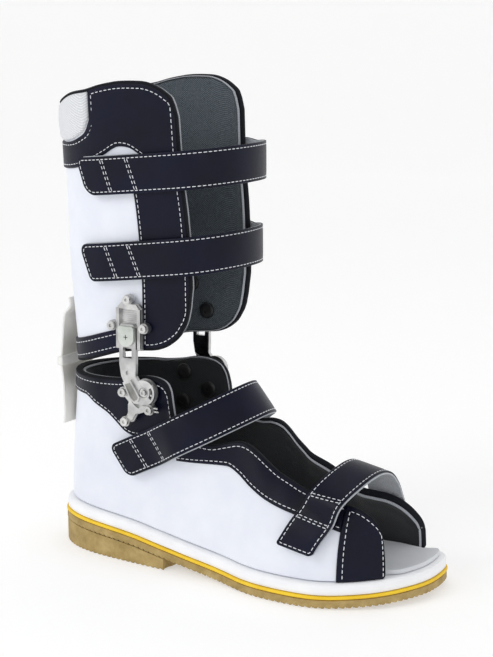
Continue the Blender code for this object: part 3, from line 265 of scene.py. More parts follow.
# ---------------------------------------------------------------- accent layer and welt
# A thin yellow rubber layer under a thick white rubber welt, cemented together and ground flush.
# The welt stands out past the upper as a plain shelf with a soft upper edge.
def moulded_rubber(name, light, dark, roughness):
    """Coloured crepe rubber, moulded: satin, faintly mottled, with a fine 0.5 mm skin texture."""
    made, tree, shader = new_finish(name, Roughness=roughness)
    where = add(tree, "TexCoord").outputs["Object"]
    mottle = add(tree, "TexNoise", {"Vector": where, "Scale": 60.0, "Detail": 5.0})
    skin = add(tree, "TexNoise", {"Vector": where, "Scale": 1800.0, "Detail": 2.0})
    tree.links.new(ramp(tree, mottle.outputs["Fac"], (0.25, dark), (0.7, light)), shader.inputs["Base Color"])
    bump = add(tree, "Bump", {"Height": skin.outputs["Fac"], "Strength": 0.25, "Distance": 0.0001})
    tree.links.new(bump.outputs["Normal"], shader.inputs["Normal"])
    return made


def welt_top(x):
    """Upper face of the welt."""
    return seat(x) + FIT + WELT


yellow_rubber = moulded_rubber("yellow_crepe_rubber", "F6D02A", "E9BC10", 0.6)
accent = sole_layer("accent_layer_finished", yellow_rubber,
                    ((4, 0, 0), (0.6, 0, 0), (-0.1, 0.25, 0), (-0.15, 0.6, 0), (0.3, 1, 0), (4, 1, 0)),
                    lambda x: seat(x) - ACCENT, seat)
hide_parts("sole_accent_layer")
white_rubber = moulded_rubber("white_moulded_rubber", "F6F7F9", "EDEEF2", 0.5)
welt = sole_layer("welt_finished", white_rubber,
                  ((5, 0, 0), (1.6, 0, 0), (1.0, 0.08, 0), (0.9, 0.4, 0), (1.0, 0.7, 0), (1.7, 0.9, 0),
                   (3.0, 0.985, 0), (5.0, 1, 0), (9.0, 1, 0)),
                  lambda x: seat(x) + FIT, welt_top)
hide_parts("welt")


# ---------------------------------------------------------------- insole
# Light grey lining leather over a cork board, cut to the inside of the upper and bare at the toe.
def insole_inset(share):
    """How far the insole's edge stands inside the sole's outline, by the share of its length."""
    return through(((0.86, 11.0), (0.905, 12.4), (0.938, 12.4), (0.975, 5.2)), share)


def smooth_leather(name, light, dark, roughness, grain_mm, depth_mm, crease=0.0, specular=0.5):
    """Finished leather: pores and grain at grain_mm, a slow change of tone, and soft creases."""
    made, tree, shader = new_finish(name, Roughness=roughness, Specular_IOR_Level=specular)
    where = add(tree, "TexCoord").outputs["Object"]
    tone = add(tree, "TexNoise", {"Vector": where, "Scale": 22.0, "Detail": 4.0, "Roughness": 0.6})
    grain = add(tree, "TexVoronoi", {"Vector": where, "Scale": 1000.0 / grain_mm}, feature="SMOOTH_F1")
    fine = add(tree, "TexNoise", {"Vector": where, "Scale": 2500.0 / grain_mm, "Detail": 3.0})
    tree.links.new(ramp(tree, tone.outputs["Fac"], (0.3, dark), (0.7, light)), shader.inputs["Base Color"])
    rough = add(tree, "MapRange", {"Value": grain.outputs["Distance"], "To Min": roughness - 0.05,
                                   "To Max": roughness + 0.1})
    tree.links.new(rough.outputs[0], shader.inputs["Roughness"])
    height = add(tree, "Math", {0: grain.outputs["Distance"], 1: fine.outputs["Fac"]}, operation="ADD")
    normal = add(tree, "Bump", {"Height": height.outputs[0], "Strength": 0.35, "Distance": depth_mm * MM})
    if crease:
        folds = add(tree, "TexNoise", {"Vector": where, "Scale": 45.0, "Detail": 3.0, "Distortion": 0.6})
        normal = add(tree, "Bump", {"Height": folds.outputs["Fac"], "Strength": 0.4, "Distance": crease * MM,
                                    "Normal": normal.outputs["Normal"]})
    tree.links.new(normal.outputs["Normal"], shader.inputs["Normal"])
    return made


grey_leather = smooth_leather("grey_lining_leather", "DDDFE3", "D0D3D8", 0.55, 1.0, 0.08)
insole = sole_layer("insole_finished", grey_leather,
                    ((3, 0, 0), (0.5, 0, 0), (0, 0.2, 0), (0.1, 0.7, 0), (0.8, 0.97, 0), (2.2, 1, 0)),
                    lambda x: welt_top(x) + FIT, lambda x: welt_top(x) + FIT + INSOLE,
                    line=insole_inset(outline_share))
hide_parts("insole")


# ---------------------------------------------------------------- shoe quarters
# White full-grain side leather, lasted over the foot shape and cemented to the welt. Each column
# of the wall rises upright from the feather line and leans in to the edge of the opening.
FEATHER, LEATHER, PADDING, OVERLAY = 5.0, 1.8, 3.0, 1.4       # mm
LATERAL_RIM = np.array((
    (207.0, 27.5, 48.5), (203.5, 27.8, 54.5), (194.5, 28, 60), (184, 28, 61.8), (170, 28, 64),
    (155, 28, 67.6), (145, 28, 72), (136, 28, 76.3), (128, 28, 82), (121, 28, 87.4), (114, 28, 91.5),
    (107, 28.5, 92.8),
    (98, 30, 91), (88, 32.5, 89.5), (76, 35.5, 92), (67, 37, 97.5), (61.5, 37.9, 105), (59.5, 37.9, 113),
    (58, 37.9, 122), (55, 37.9, 127.5), (49, 37.9, 130), (40, 37.9, 130.5), (31, 37.9, 129),
    (20, 37.4, 126.9), (8, 35.4, 125.5)))
MEDIAL_RIM = np.array((
    (202, 44.5, 32), (200, 42.5, 37.5), (195, 38.5, 44.5), (189, 35, 49.5), (182, 32, 52.6),
    (174, 29.8, 53.8), (164, 28, 55.5), (154, 26.5, 62), (143, 25.5, 68.7), (130, 25, 74.3),
    (124, 25, 79), (118, 25, 84.3),
    (112, 25, 90.5), (106, 25.3, 94.4), (98, 26.2, 95.4), (89, 28.5, 93.8), (76, 33, 94), (66, 36.3, 98),
    (60, 37.4, 105), (57.5, 37.9, 115.5), (55, 37.9, 122.5), (50, 37.9, 127.5), (41, 37.9, 129.7),
    (31, 37.9, 129.3), (20, 37.4, 126.9), (8, 35.4, 125.5)))
HEEL_RIM_LENGTH, HEEL_RIM_DROP, HEEL_STEPS = 41.0, 1.5, 14
REAR_X, REAR_Y, REAR_Z = LATERAL_RIM[-1]             # where the rim turns round the heel
RIM_AHEAD = 0.6                                      # how far a column's foot stands ahead of its top


def foot_of(run, x, side):
    """Feather-line points under x and their outward directions, square to the run."""
    along = np.gradient(run, axis=0)
    out = np.stack((along[:, 1], -along[:, 0]), 1) * -side
    out /= np.linalg.norm(out, axis=1, keepdims=True)
    y = np.interp(x, run[:, 0], run[:, 1])
    turned = [np.interp(x, run[:, 0], out[:, k]) for k in (0, 1)]
    return np.stack((x, y, welt_top(x) + FIT), 1), np.stack((*turned, 0 * x), 1)


def wall_columns():
    """Foot, top and outward direction of every column: lateral toe, round the heel, medial toe.

    Round the heel the top runs on a half ellipse and the foot keeps the same share of its own arc.
    """
    lateral, medial = sides(FEATHER + LEATHER)
    found = []
    for rim, run, side in ((LATERAL_RIM, lateral, -1), (MEDIAL_RIM[::-1], medial, 1)):
        base, out = foot_of(run, rim[:, 0] + RIM_AHEAD, side)
        found.append((base, rim * (1, side, 1), out))
    turn = REAR_X + RIM_AHEAD
    path = np.vstack((lateral[lateral[:, 0] < turn][::-1], medial[medial[:, 0] < turn][1:]))
    arc = np.concatenate(([0], np.cumsum(np.hypot(*np.diff(path, axis=0).T))))
    share = np.arange(1, HEEL_STEPS) / HEEL_STEPS
    angle = np.pi * share
    top = np.stack((REAR_X - HEEL_RIM_LENGTH * np.sin(angle), -REAR_Y * np.cos(angle),
                    REAR_Z - HEEL_RIM_DROP * np.sin(angle)), 1)
    x, y = (np.interp(share * arc[-1], arc, path[:, k]) for k in (0, 1))
    heel_base = np.stack((x, y, welt_top(x) + FIT), 1)
    heel_out = np.stack((-np.sin(angle), -np.cos(angle), 0 * angle), 1)
    near, far = found
    return [np.vstack(parts) for parts in zip(near, (heel_base, top, heel_out), far)]


FOOT, TOP, OUT = wall_columns()
LAST = len(TOP) - 1.0
MIDDLE = len(LATERAL_RIM) + HEEL_STEPS // 2 - 1      # column at the back of the heel
MIDDLE_RISE = 0.6


def between_rows(values, place):
    """Catmull-Rom between numbered rows: the cubic through the two nearest with their neighbours' slopes."""
    i = np.clip(np.floor(place).astype(int), 0, len(values) - 2)
    t = (place - i)[..., None]
    p0, p1 = values[np.maximum(i - 1, 0)], values[i]
    p2, p3 = values[i + 1], values[np.minimum(i + 2, len(values) - 1)]
    return 0.5 * (2 * p1 + (p2 - p0) * t + (2 * p0 - 5 * p1 + 4 * p2 - p3) * t ** 2
                  + (3 * p1 - p0 - 3 * p2 + p3) * t ** 3)


def shoe_wall(place, share, offset):
    """Wall point at a column and height share: B(1-v)^2 + 2M v(1-v) + T v^2, with M above B by MIDDLE_RISE
    of the height, plus offset along the normal, which is the outward direction turned square to the curve."""
    place, share, offset = np.broadcast_arrays(np.asarray(place, float), share, offset)
    base, top, out = (between_rows(values, place) for values in (FOOT, TOP, OUT))
    out = out / np.linalg.norm(out, axis=-1, keepdims=True)
    rise = (top - base)[..., 2:] * (0, 0, MIDDLE_RISE)
    mid = base + rise
    v = share[..., None]
    here = base * (1 - v) ** 2 + mid * 2 * v * (1 - v) + top * v ** 2
    slope = (mid - base) * (1 - v) + (top - mid) * v
    normal = out * slope[..., 2:] - np.array((0, 0, 1.0)) * (slope * out).sum(-1, keepdims=True)
    normal /= np.linalg.norm(normal, axis=-1, keepdims=True)
    return here + normal * offset[..., None], normal


def column_at(x, side):
    """Column whose top passes x on one side."""
    if side < 0:
        return float(np.interp(-x, -TOP[:MIDDLE, 0], np.arange(MIDDLE)))
    return float(np.interp(x, TOP[MIDDLE:, 0], np.arange(MIDDLE, len(TOP))))


def share_at(place, z):
    """Height share at which the columns reach z, by halving."""
    low, high = np.zeros(np.shape(place)), np.ones(np.shape(place))
    for _ in range(22):
        mid = (low + high) / 2
        under = shoe_wall(place, mid, 0)[0][..., 2] < z
        low, high = np.where(under, mid, low), np.where(under, high, mid)
    return (low + high) / 2


def eased(count):
    """Shares from 0 to 1, closer together near both ends: 0.5 - 0.5 cos(pi t)."""
    return 0.5 - 0.5 * np.cos(np.pi * np.linspace(0, 1, count))


def edge_run(grid):
    """Lengths along a grid's two directions and the distance to its nearest edge, in mm."""
    across = np.linalg.norm(np.diff(grid, axis=1), axis=2)
    v = np.concatenate((np.zeros((len(grid), 1)), np.cumsum(across, 1)), 1)
    ahead = np.linalg.norm(np.diff(grid, axis=0), axis=2)
    u = np.concatenate((np.zeros((1, grid.shape[1])), np.cumsum(ahead, 0)), 0)
    edge = np.minimum(np.minimum(v, v[:, -1:] - v), np.minimum(u, u[-1:] - u))
    return np.stack((np.broadcast_to(u.mean(1, keepdims=True), v.shape), v, edge), 2)


def skin(name, surface, places, low, high, inner, thick, rounding, finish, slot, body, rows=26, swell=None):
    """Closed sheet on a surface(place, height, offset): a flat back at inner and a front at inner + thick,
    which rounds off within rounding of every edge as sqrt(1 - (1 - d / r)^2). swell adds to the front."""
    heights = low(places)[:, None] + (high(places) - low(places))[:, None] * eased(rows)[None, :]
    columns = np.broadcast_to(places[:, None], heights.shape)
    back = surface(columns, heights, inner)[0]
    run = edge_run(back)
    crown = np.sqrt(1 - (1 - np.clip(run[..., 2] / rounding, 0, 1)) ** 2)
    front_offset = inner + thick * crown
    if swell is not None:
        front_offset = front_offset + swell(run, back)
    front = surface(columns, heights, front_offset)[0]
    m, n = heights.shape
    ring = np.concatenate((np.arange(m) * n, (m - 1) * n + np.arange(1, n),
                           np.arange(m - 2, -1, -1) * n + n - 1, np.arange(n - 2, 0, -1)))
    following = np.roll(ring, -1)
    border = np.stack((ring, following, following + m * n, ring + m * n), 1)
    faces = np.vstack((quads(m, n)[:, ::-1], quads(m, n) + m * n, border))
    points = np.vstack((back.reshape(-1, 3), front.reshape(-1, 3)))
    made = piece(name, points, faces, finish, run=np.vstack((run.reshape(-1, 3),) * 2))
    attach(made, body)
    return made


white_leather = smooth_leather("white_side_leather", "EBEEF6", "DFE3EE", 0.42, 0.9, 0.05, crease=0.5,
                               specular=0.35)

WAVE = 0.25                                          # mm


def soft_waves(run, back):
    """Slow swells of hand-lasted leather: WAVE mm high, a product of sines of x + y and of z, which
    starts from nothing at an edge and is full 12 mm inside it."""
    wave = np.sin(back[..., 0] / 17 + back[..., 1] / 23) * np.sin(back[..., 2] / 13 + 1)
    return WAVE * wave * np.clip(run[..., 2] / 12, 0, 1)


def foot_share(place):
    """Share of the wall's height at its foot."""
    return 0.0 * place


def rim_share(place):
    """Share of the wall's height at its rim."""
    return 1.0 + 0 * place


LEATHER_ROUND = 0.8                                  # rounding of a cut edge, mm
every_column = np.linspace(0, LAST, 420)
quarters = skin("shoe_quarters_leather", shoe_wall, every_column, foot_share, rim_share, 0.0, LEATHER,
                LEATHER_ROUND, white_leather, "white_leather", "shoe", rows=40, swell=soft_waves)
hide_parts("shoe_quarters")


# ---------------------------------------------------------------- shoe lining
# Dark knitted spacer mesh over 3 mm foam, glued inside the quarters. The foam shows at the cut
# edge as a light grey strip, and the lining swells a little between its stitched edges.
def spacer_mesh(name, light, dark, cell_mm, depth_mm):
    """Knitted polyester spacer mesh: rows of small holes in a staggered set, cell_mm apart; matt, with a
    soft sheen."""
    made, tree, shader = new_finish(name, Roughness=0.85, Sheen_Weight=0.25, Sheen_Roughness=0.5)
    run = add(tree, "Attribute", attribute_name="run").outputs["Vector"]
    parts = add(tree, "SeparateXYZ", {"Vector": run})
    rows = []
    for axis, pitch, phase in (("X", cell_mm, 0.0), ("Y", cell_mm * 0.87, 1.57)):
        turn = add(tree, "Math", {0: parts.outputs[axis], 1: 2 * math.pi / pitch, 2: phase},
                   operation="MULTIPLY_ADD")
        rows.append(add(tree, "Math", {0: turn.outputs[0]}, operation="SINE").outputs[0])
    knit = add(tree, "Math", {0: rows[0], 1: rows[1]}, operation="MULTIPLY")
    level = add(tree, "MapRange", {"Value": knit.outputs[0], "From Min": -1.0, "From Max": 1.0})
    where = add(tree, "TexCoord").outputs["Object"]
    fuzz = add(tree, "TexNoise", {"Vector": where, "Scale": 1400.0, "Detail": 3.0})
    tone = add(tree, "Math", {0: level.outputs[0], 1: fuzz.outputs["Fac"]}, operation="MULTIPLY")
    colour = ramp(tree, tone.outputs[0], (0.08, dark), (0.55, light))
    tree.links.new(colour, shader.inputs["Base Color"])
    bump = add(tree, "Bump", {"Height": level.outputs[0], "Strength": 0.7, "Distance": depth_mm * MM})
    tree.links.new(bump.outputs["Normal"], shader.inputs["Normal"])
    return made

EDGE_SEAM = 4                                        # mm


def foam_swell(height, width):
    """Rise of foam between stitched edges: height times a smooth step of the distance from the seam,
    which lies EDGE_SEAM inside the edge."""
    def rise(run, back):
        t = np.clip((run[..., 2] - EDGE_SEAM) / width, 0, 1)
        return height * t * t * (3 - 2 * t)
    return rise


dark_mesh = spacer_mesh("black_spacer_mesh", "20252B", "06080A", 1.5, 0.3)
lining = skin("shoe_lining_padded", lambda p, v, o: shoe_wall(p, v, -FIT - np.asarray(o)), every_column,
              foot_share, lambda p: 0.0 * p + 0.985, 0.0, PADDING - 0.6, 1.6, dark_mesh, "grey_mesh",
              "shoe", rows=36, swell=foam_swell(0.5, 9))
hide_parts("shoe_lining")


# ---------------------------------------------------------------- edge finish of the shoe opening
# The cut edge carries a light grey strip of foam backing, and outside it a black cotton binding
# that is turned over the leather and stitched.
BEAD_SIDES = 12


def bead(name, path, normal, ahead, width, height, finish, body, closed=False):
    """Rounded strip along a path: section points are path + normal w cos(a) + ahead h sin(a), with the
    ends of the strip drawn in to a point."""
    a = np.linspace(0, 2 * np.pi, BEAD_SIDES, endpoint=False)
    length = np.concatenate(([0], np.cumsum(np.linalg.norm(np.diff(path, axis=0), axis=1))))
    ends = 1.0 if closed else np.sqrt(np.clip(np.minimum(length, length[-1] - length) / 1.5, 0.02, 1))
    ends = np.broadcast_to(ends, len(path))[:, None, None]
    grid = (path[:, None] + normal[:, None] * (width * np.cos(a))[None, :, None] * ends
            + ahead[:, None] * (height * np.sin(a))[None, :, None] * ends)
    faces = quads(len(path), BEAD_SIDES, wrap=True).tolist()
    final = (len(path) - 1) * BEAD_SIDES
    if closed:
        j = np.arange(BEAD_SIDES)
        k = (j + 1) % BEAD_SIDES
        faces += np.stack((final + j, final + k, k, j), 1).tolist()
    else:
        faces += [list(range(BEAD_SIDES)), list(range(final, final + BEAD_SIDES))]
    run = np.stack(np.broadcast_arrays(length[:, None], 3.0 * a[None, :], 0.0), 2)
    made = piece(name, grid.reshape(-1, 3), faces, finish, run=run.reshape(-1, 3))
    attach(made, body)
    return made


def woven_tape(name, light, dark, pitch_mm, roughness=0.8, sheen=0.3, specular=0.5):
    """Plain woven tape: over and under threads pitch_mm apart, as crossed sine waves of the run."""
    made, tree, shader = new_finish(name, Roughness=roughness, Sheen_Weight=sheen,
                                    Specular_IOR_Level=specular)
    run = add(tree, "Attribute", attribute_name="run").outputs["Vector"]
    parts = add(tree, "SeparateXYZ", {"Vector": run})
    waves = []
    for axis in "XY":
        turn = add(tree, "Math", {0: parts.outputs[axis], 1: 2 * math.pi / pitch_mm}, operation="MULTIPLY")
        waves.append(add(tree, "Math", {0: turn.outputs[0]}, operation="SINE").outputs[0])
    weave = add(tree, "Math", {0: waves[0], 1: waves[1]}, operation="MAXIMUM")
    level = add(tree, "MapRange", {"Value": weave.outputs[0], "From Min": -1.0, "From Max": 1.0})
    tree.links.new(ramp(tree, level.outputs[0], (0.1, dark), (0.9, light)), shader.inputs["Base Color"])
    bump = add(tree, "Bump", {"Height": level.outputs[0], "Strength": 0.5, "Distance": 0.0002})
    tree.links.new(bump.outputs["Normal"], shader.inputs["Normal"])
    return made


black_binding = woven_tape("black_cotton_binding", "15171E", "050609", 0.9, sheen=0.03, specular=0.15)
grey_foam = woven_tape("grey_foam_edge", "A9ADB4", "767A82", 1.1, 0.9)


def shoe_edge(name, start, end, offset, width, height, finish, slot, lift=0.0):
    """Strip on the rim of the shoe wall between two columns, its ahead direction up the wall."""
    places = np.linspace(start, end, int(abs(end - start) * 9) + 2)
    top, normal = shoe_wall(places, 1.0, offset)
    below = shoe_wall(places, 0.97, offset)[0]
    ahead = top - below
    ahead /= np.linalg.norm(ahead, axis=1, keepdims=True)
    return bead(name, top + ahead * lift, normal, ahead, width, height, finish, "shoe")


FOAM_STRIP = -2.2, 1.0, 0.6, grey_foam, "grey_mesh"               # offset, half width, half height
BINDING_STRIP = 1.1, 2.4, 1.0, black_binding, "navy_leather"
shoe_edge("shoe_edge_foam", 0.0, LAST, *FOAM_STRIP, -0.7)
shoe_edge("shoe_edge_binding", 0.0, LAST, *BINDING_STRIP, -0.2)
for end, name in ((0.0, "lateral"), (LAST, "medial")):
    heights = np.linspace(0.0, 1.0, 60)
    for part, (offset, width, rise, finish, slot) in (("foam", FOAM_STRIP), ("binding", BINDING_STRIP)):
        line, normal = shoe_wall(end, heights, offset)
        inside = shoe_wall(abs(end - 0.05), heights, offset)[0]
        ahead = line - inside
        ahead /= np.linalg.norm(ahead, axis=1, keepdims=True)
        bead(name + "_toe_edge_" + part, line, normal, ahead, width, rise, finish, "shoe")


# ---------------------------------------------------------------- navy overlays of the shoe
# Navy full-grain leather cut in three shapes a side: the ankle collar, the vamp band along the
# opening and the toe band down to the welt. White polyester thread runs 2.5 mm inside their edges.
navy_leather = smooth_leather("navy_full_grain_leather", "090D26", "050715", 0.4, 0.8, 0.06, crease=0.25,
                              specular=0.18)
STITCH, STITCH_GAP, SEAM_INSET = 2.5, 0.9, 2.5       # mm
THREAD_WIDTH, THREAD_HEIGHT = 0.29, 0.27             # half sizes of a stitch, mm


def thread_finish():
    """Bonded polyester thread: twisted, smooth and slightly shiny, white with grey between the plies."""
    made, tree, shader = new_finish("white_polyester_thread", Roughness=0.5, Sheen_Weight=0.2)
    run = add(tree, "Attribute", attribute_name="run").outputs["Vector"]
    twist = add(tree, "TexWave", {"Vector": run, "Scale": 0.55}, bands_direction="DIAGONAL")
    colour = ramp(tree, twist.outputs["Fac"], (0.1, "C9CDD6"), (0.6, "F4F6FA"))
    tree.links.new(colour, shader.inputs["Base Color"])
    return made


thread = thread_finish()


def stitches(name, lines, body):
    """Row of stitches along (path, normal) lines: each is a five-sided bar STITCH long, tapering into the
    leather at its ends; bars stand STITCH_GAP apart along the path."""
    along = np.array((-0.5, -0.38, 0.0, 0.38, 0.5))
    size = np.array((0.35, 0.9, 1.0, 0.9, 0.35))
    sink = np.array((-0.5, 0.0, 0.25, 0.0, -0.5))
    a = np.linspace(0, 2 * np.pi, 5, endpoint=False) + 0.3
    points, runs = [], []
    for path, normal in lines:
        arc = np.concatenate(([0], np.cumsum(np.linalg.norm(np.diff(path, axis=0), axis=1))))
        count = max(int((arc[-1] - STITCH_GAP) / (STITCH + STITCH_GAP)), 1)
        centre = (np.arange(count) + 0.5) * arc[-1] / count
        spots = centre[:, None] + along[None, :] * STITCH
        where = np.stack([np.interp(spots, arc, path[:, k]) for k in range(3)], -1)
        up = np.stack([np.interp(spots, arc, normal[:, k]) for k in range(3)], -1)
        up /= np.linalg.norm(up, axis=-1, keepdims=True)
        ahead = where[:, -1:] - where[:, :1]
        ahead = ahead / np.linalg.norm(ahead, axis=-1, keepdims=True)
        side = np.cross(ahead, up)
        centre_line = where + up * (sink * THREAD_HEIGHT)[None, :, None]
        sideways = (THREAD_WIDTH * size[:, None] * np.cos(a))[None, :, :, None]
        upwards = (THREAD_HEIGHT * size[:, None] * np.sin(a))[None, :, :, None]
        ring = centre_line[:, :, None] + side[:, :, None] * sideways + up[:, :, None] * upwards
        points.append(ring.reshape(-1, 25, 3))
        run = np.stack(np.broadcast_arrays(spots[:, :, None], a * 0.5, 0.0), -1)
        runs.append(run.reshape(-1, 25, 3))
    points, runs = np.vstack(points), np.vstack(runs)
    single = quads(5, 5, wrap=True)
    faces = (single[None] + 25 * np.arange(len(points))[:, None, None]).reshape(-1, 4).tolist()
    for k in range(len(points)):
        faces += [list(range(25 * k, 25 * k + 5)), list(range(25 * k + 20, 25 * k + 25))]
    made = piece(name, points.reshape(-1, 3), faces, thread, sharp=80,
                 run=runs.reshape(-1, 3))
    if body is not None:
        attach(made, body)
    return made


def column_length(place):
    """Length of a wall column from foot to rim, in mm."""
    line = shoe_wall(np.asarray(place)[..., None], np.linspace(0, 1, 12), 0)[0]
    return np.linalg.norm(np.diff(line, axis=-2), axis=-1).sum(-1)


OVER = LEATHER + 0.1                                 # back of the overlays, outside the wall's inner face
FACE = OVER + OVERLAY                                # their front
OVERLAY_ROUND = 0.9                                  # rounding of their edges, mm
COLLAR_LOW = ((-40, 111), (-13, 111), (-3, 106), (7, 101), (15, 95), (21, 90.5), (29, 88.5), (59, 91))


def collar_low(place):
    """Share of the height at which the collar's lower edge runs."""
    x = shoe_wall(place, 0.9, 0)[0][..., 0]
    return share_at(place, through(COLLAR_LOW, x))


def seam_share(place, share):
    """Share at which a seam runs SEAM_INSET above a lower edge, measured square to the edge."""
    line = shoe_wall(place, share, FACE)[0]
    along = np.gradient(line, axis=0)
    column = shoe_wall(place, share - 0.01, FACE)[0] - line
    length = np.linalg.norm(column, axis=1)
    square = np.linalg.norm(np.cross(column, along), axis=1) / (length * np.linalg.norm(along, axis=1))
    return share + 0.01 * SEAM_INSET / (length * np.maximum(square, 0.45))


collar_ends = column_at(61.5, -1), column_at(60, 1)
places = np.linspace(*collar_ends, 260)
collar = skin("ankle_collar_leather", shoe_wall, places, collar_low, rim_share, OVER, OVERLAY,
              OVERLAY_ROUND, navy_leather, "navy_leather", "shoe", rows=30, swell=soft_waves)
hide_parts("ankle_collar_overlay")
inner = np.linspace(collar_ends[0] + 0.35, collar_ends[1] - 0.35, 500)
high_seam = 1 - SEAM_INSET * 1.6 / column_length(inner)
low_seam = seam_share(inner, collar_low(inner))
collar_lines = [shoe_wall(inner, high_seam, FACE), shoe_wall(inner, low_seam, FACE)]
up = np.linspace(0, 1, 60)
for k in (0, -1):
    collar_lines.append(shoe_wall(inner[k], low_seam[k] + (high_seam[k] - low_seam[k]) * up, FACE))
stitches("ankle_collar_stitching", collar_lines, "shoe")

VAMP_LOW = ((62, 76.5), (100, 77.2), (110, 73.5), (120, 67), (133, 60), (153, 54), (170, 50.5), (188, 46))
MEDIAL_VAMP_LOW = 0.66                               # share of the wall's height
VAMP_BACK, VAMP_FRONT, TOE_BAND_BACK = 62.5, 184.2, 183.5        # x along the opening, mm
TOE_BAND_LIFT = 0.25                                 # it lies over the end of the vamp band


def vamp_low(place):
    """Share of the height at which the lateral vamp band's lower edge runs."""
    x = shoe_wall(place, 0.7, 0)[0][..., 0]
    return share_at(place, through(VAMP_LOW, x))


for side, name in ((-1, "lateral"), (1, "medial")):
    start, end = sorted((column_at(VAMP_BACK, side), column_at(VAMP_FRONT, side)))
    places = np.linspace(start, end, 180)
    band_low = vamp_low if side < 0 else lambda p: MEDIAL_VAMP_LOW + 0 * p
    band_piece = skin(name + "_vamp_band_leather", shoe_wall, places, band_low, rim_share, OVER, OVERLAY,
                      OVERLAY_ROUND, navy_leather, "navy_leather", "shoe", rows=24, swell=soft_waves)
    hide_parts(name + "_vamp_band")
    inner = np.linspace(start + 0.1, end - 0.1, 300)
    lines = [shoe_wall(inner, 1 - SEAM_INSET * 1.3 / column_length(inner), FACE),
             shoe_wall(inner, seam_share(inner, band_low(inner)), FACE)]
    stitches(name + "_vamp_band_stitching", lines, "shoe")
    ends = sorted((column_at(TOE_BAND_BACK, side), 0.0 if side < 0 else LAST))
    places = ends[0] + (ends[1] - ends[0]) * eased(60)
    toe_band = skin(name + "_toe_band_leather", shoe_wall, places, foot_share, rim_share,
                    OVER + TOE_BAND_LIFT, OVERLAY, OVERLAY_ROUND, navy_leather, "navy_leather", "shoe",
                    rows=30, swell=soft_waves)
    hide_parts(name + "_toe_band")
    back, front = (ends[1], ends[0]) if side < 0 else (ends[0], ends[1])
    inset = 0.28 if side < 0 else -0.28
    up = np.linspace(0.03, 0.94, 80)
    across = np.linspace(back - inset, front + inset * 1.2, 60)
    over = FACE + TOE_BAND_LIFT
    lines = [shoe_wall(across[0], up, over), shoe_wall(across[-1], up, over),
             shoe_wall(across, 1 - SEAM_INSET * 1.3 / column_length(across), over)]
    stitches(name + "_toe_band_stitching", lines, "shoe")


# ---------------------------------------------------------------- cuff shell and lining
# White leather over a moulded half shell, open at the shin, padded with 4 mm foam under grey
# spacer mesh. Its section is a superellipse that stands wider at the top, for the calf.
CUFF_TOP, CUFF_LOW_HALF, CUFF_TOP_HALF, CALF_START = 322.0, 37.7, 42.0, 180.0     # it widens above CALF_START
CUFF_CENTRE, CUFF_FRONT, CUFF_POWER = 20.0, 115.0, 2.4
CUFF_PADDING, PAD_THICK = 3.8, 3.6
FRONT_EDGE = ((150, 73), (192, 73), (224, 71.5), (242, 70), (262, 67.5), (300, 65), (322, 63.5))
REAR_LINE = ((131, -28.5), (148, -31), (179, -34.8), (200, -36.3), (247, -38), (270, -39), (322, -41.5))
TOP_EDGE = ((-45, 303), (-34, 306), (-18, 312.5), (-3, 315.5), (8, 318.6), (24, 321.4), (40, 322),
            (50, 320), (58, 315.5), (62, 311), (64.4, 301))
LOW_EDGE = ((-45, 131.5), (-25, 133), (-8, 137.5), (6, 142), (21, 146.5), (37, 149), (50, 151), (59, 155.5),
            (66, 163), (71, 176), (73, 192))


def cuff_wall(around, z, offset):
    """Cuff point: x = a cos^(2/n), y = b sin^(2/n) of an angle that runs from the front edge round the back,
    plus offset along the section's normal. around is 0 at the lateral front edge and 1 at the medial."""
    around, z, offset = np.broadcast_arrays(np.asarray(around, float), z, offset)
    widening = np.maximum(0, (z - CALF_START) / (CUFF_TOP - CALF_START))
    half = CUFF_LOW_HALF + (CUFF_TOP_HALF - CUFF_LOW_HALF) * widening
    reach = (through(FRONT_EDGE, z) - CUFF_CENTRE) / CUFF_FRONT
    start = np.arccos(reach ** (CUFF_POWER / 2))
    side = np.where(around < 0.5, -1.0, 1.0)
    share = np.where(around < 0.5, around, 1 - around) * 2
    angle = start + (np.pi - start) * share
    c, s = np.cos(angle), np.sin(angle)
    axis = np.where(c > 0, CUFF_FRONT, CUFF_CENTRE - through(REAR_LINE, z))
    power = 2 / CUFF_POWER
    here = np.stack((CUFF_CENTRE + np.sign(c) * axis * np.abs(c) ** power,
                     side * half * np.abs(s) ** power, z), -1)
    normal = np.stack((np.sign(c) * np.abs(c) ** (2 - power) / axis,
                       side * np.abs(s) ** (2 - power) / half, 0 * z), -1)
    normal /= np.linalg.norm(normal, axis=-1, keepdims=True)
    return here + normal * offset[..., None], normal


def cuff_place(x, side, z):
    """Place round the cuff where it passes x at height z, by halving."""
    x, z = np.broadcast_arrays(np.asarray(x, float), z)
    low, high = np.zeros(x.shape), np.full(x.shape, 0.5)
    for _ in range(30):
        mid = (low + high) / 2
        ahead = cuff_wall(mid, z, 0)[0][..., 0] > x
        low, high = np.where(ahead, mid, low), np.where(ahead, high, mid)
    return low if side < 0 else 1 - low


def cuff_x(place, z):
    """x of the cuff's inner face at a place round it."""
    return cuff_wall(place, z, 0)[0][..., 0]


def low_edge(place):
    """Height of the cuff's lower edge."""
    return through(LOW_EDGE, cuff_x(place, 149.0))


def top_edge(place):
    """Height of the cuff's upper edge."""
    return through(TOP_EDGE, cuff_x(place, 310.0))


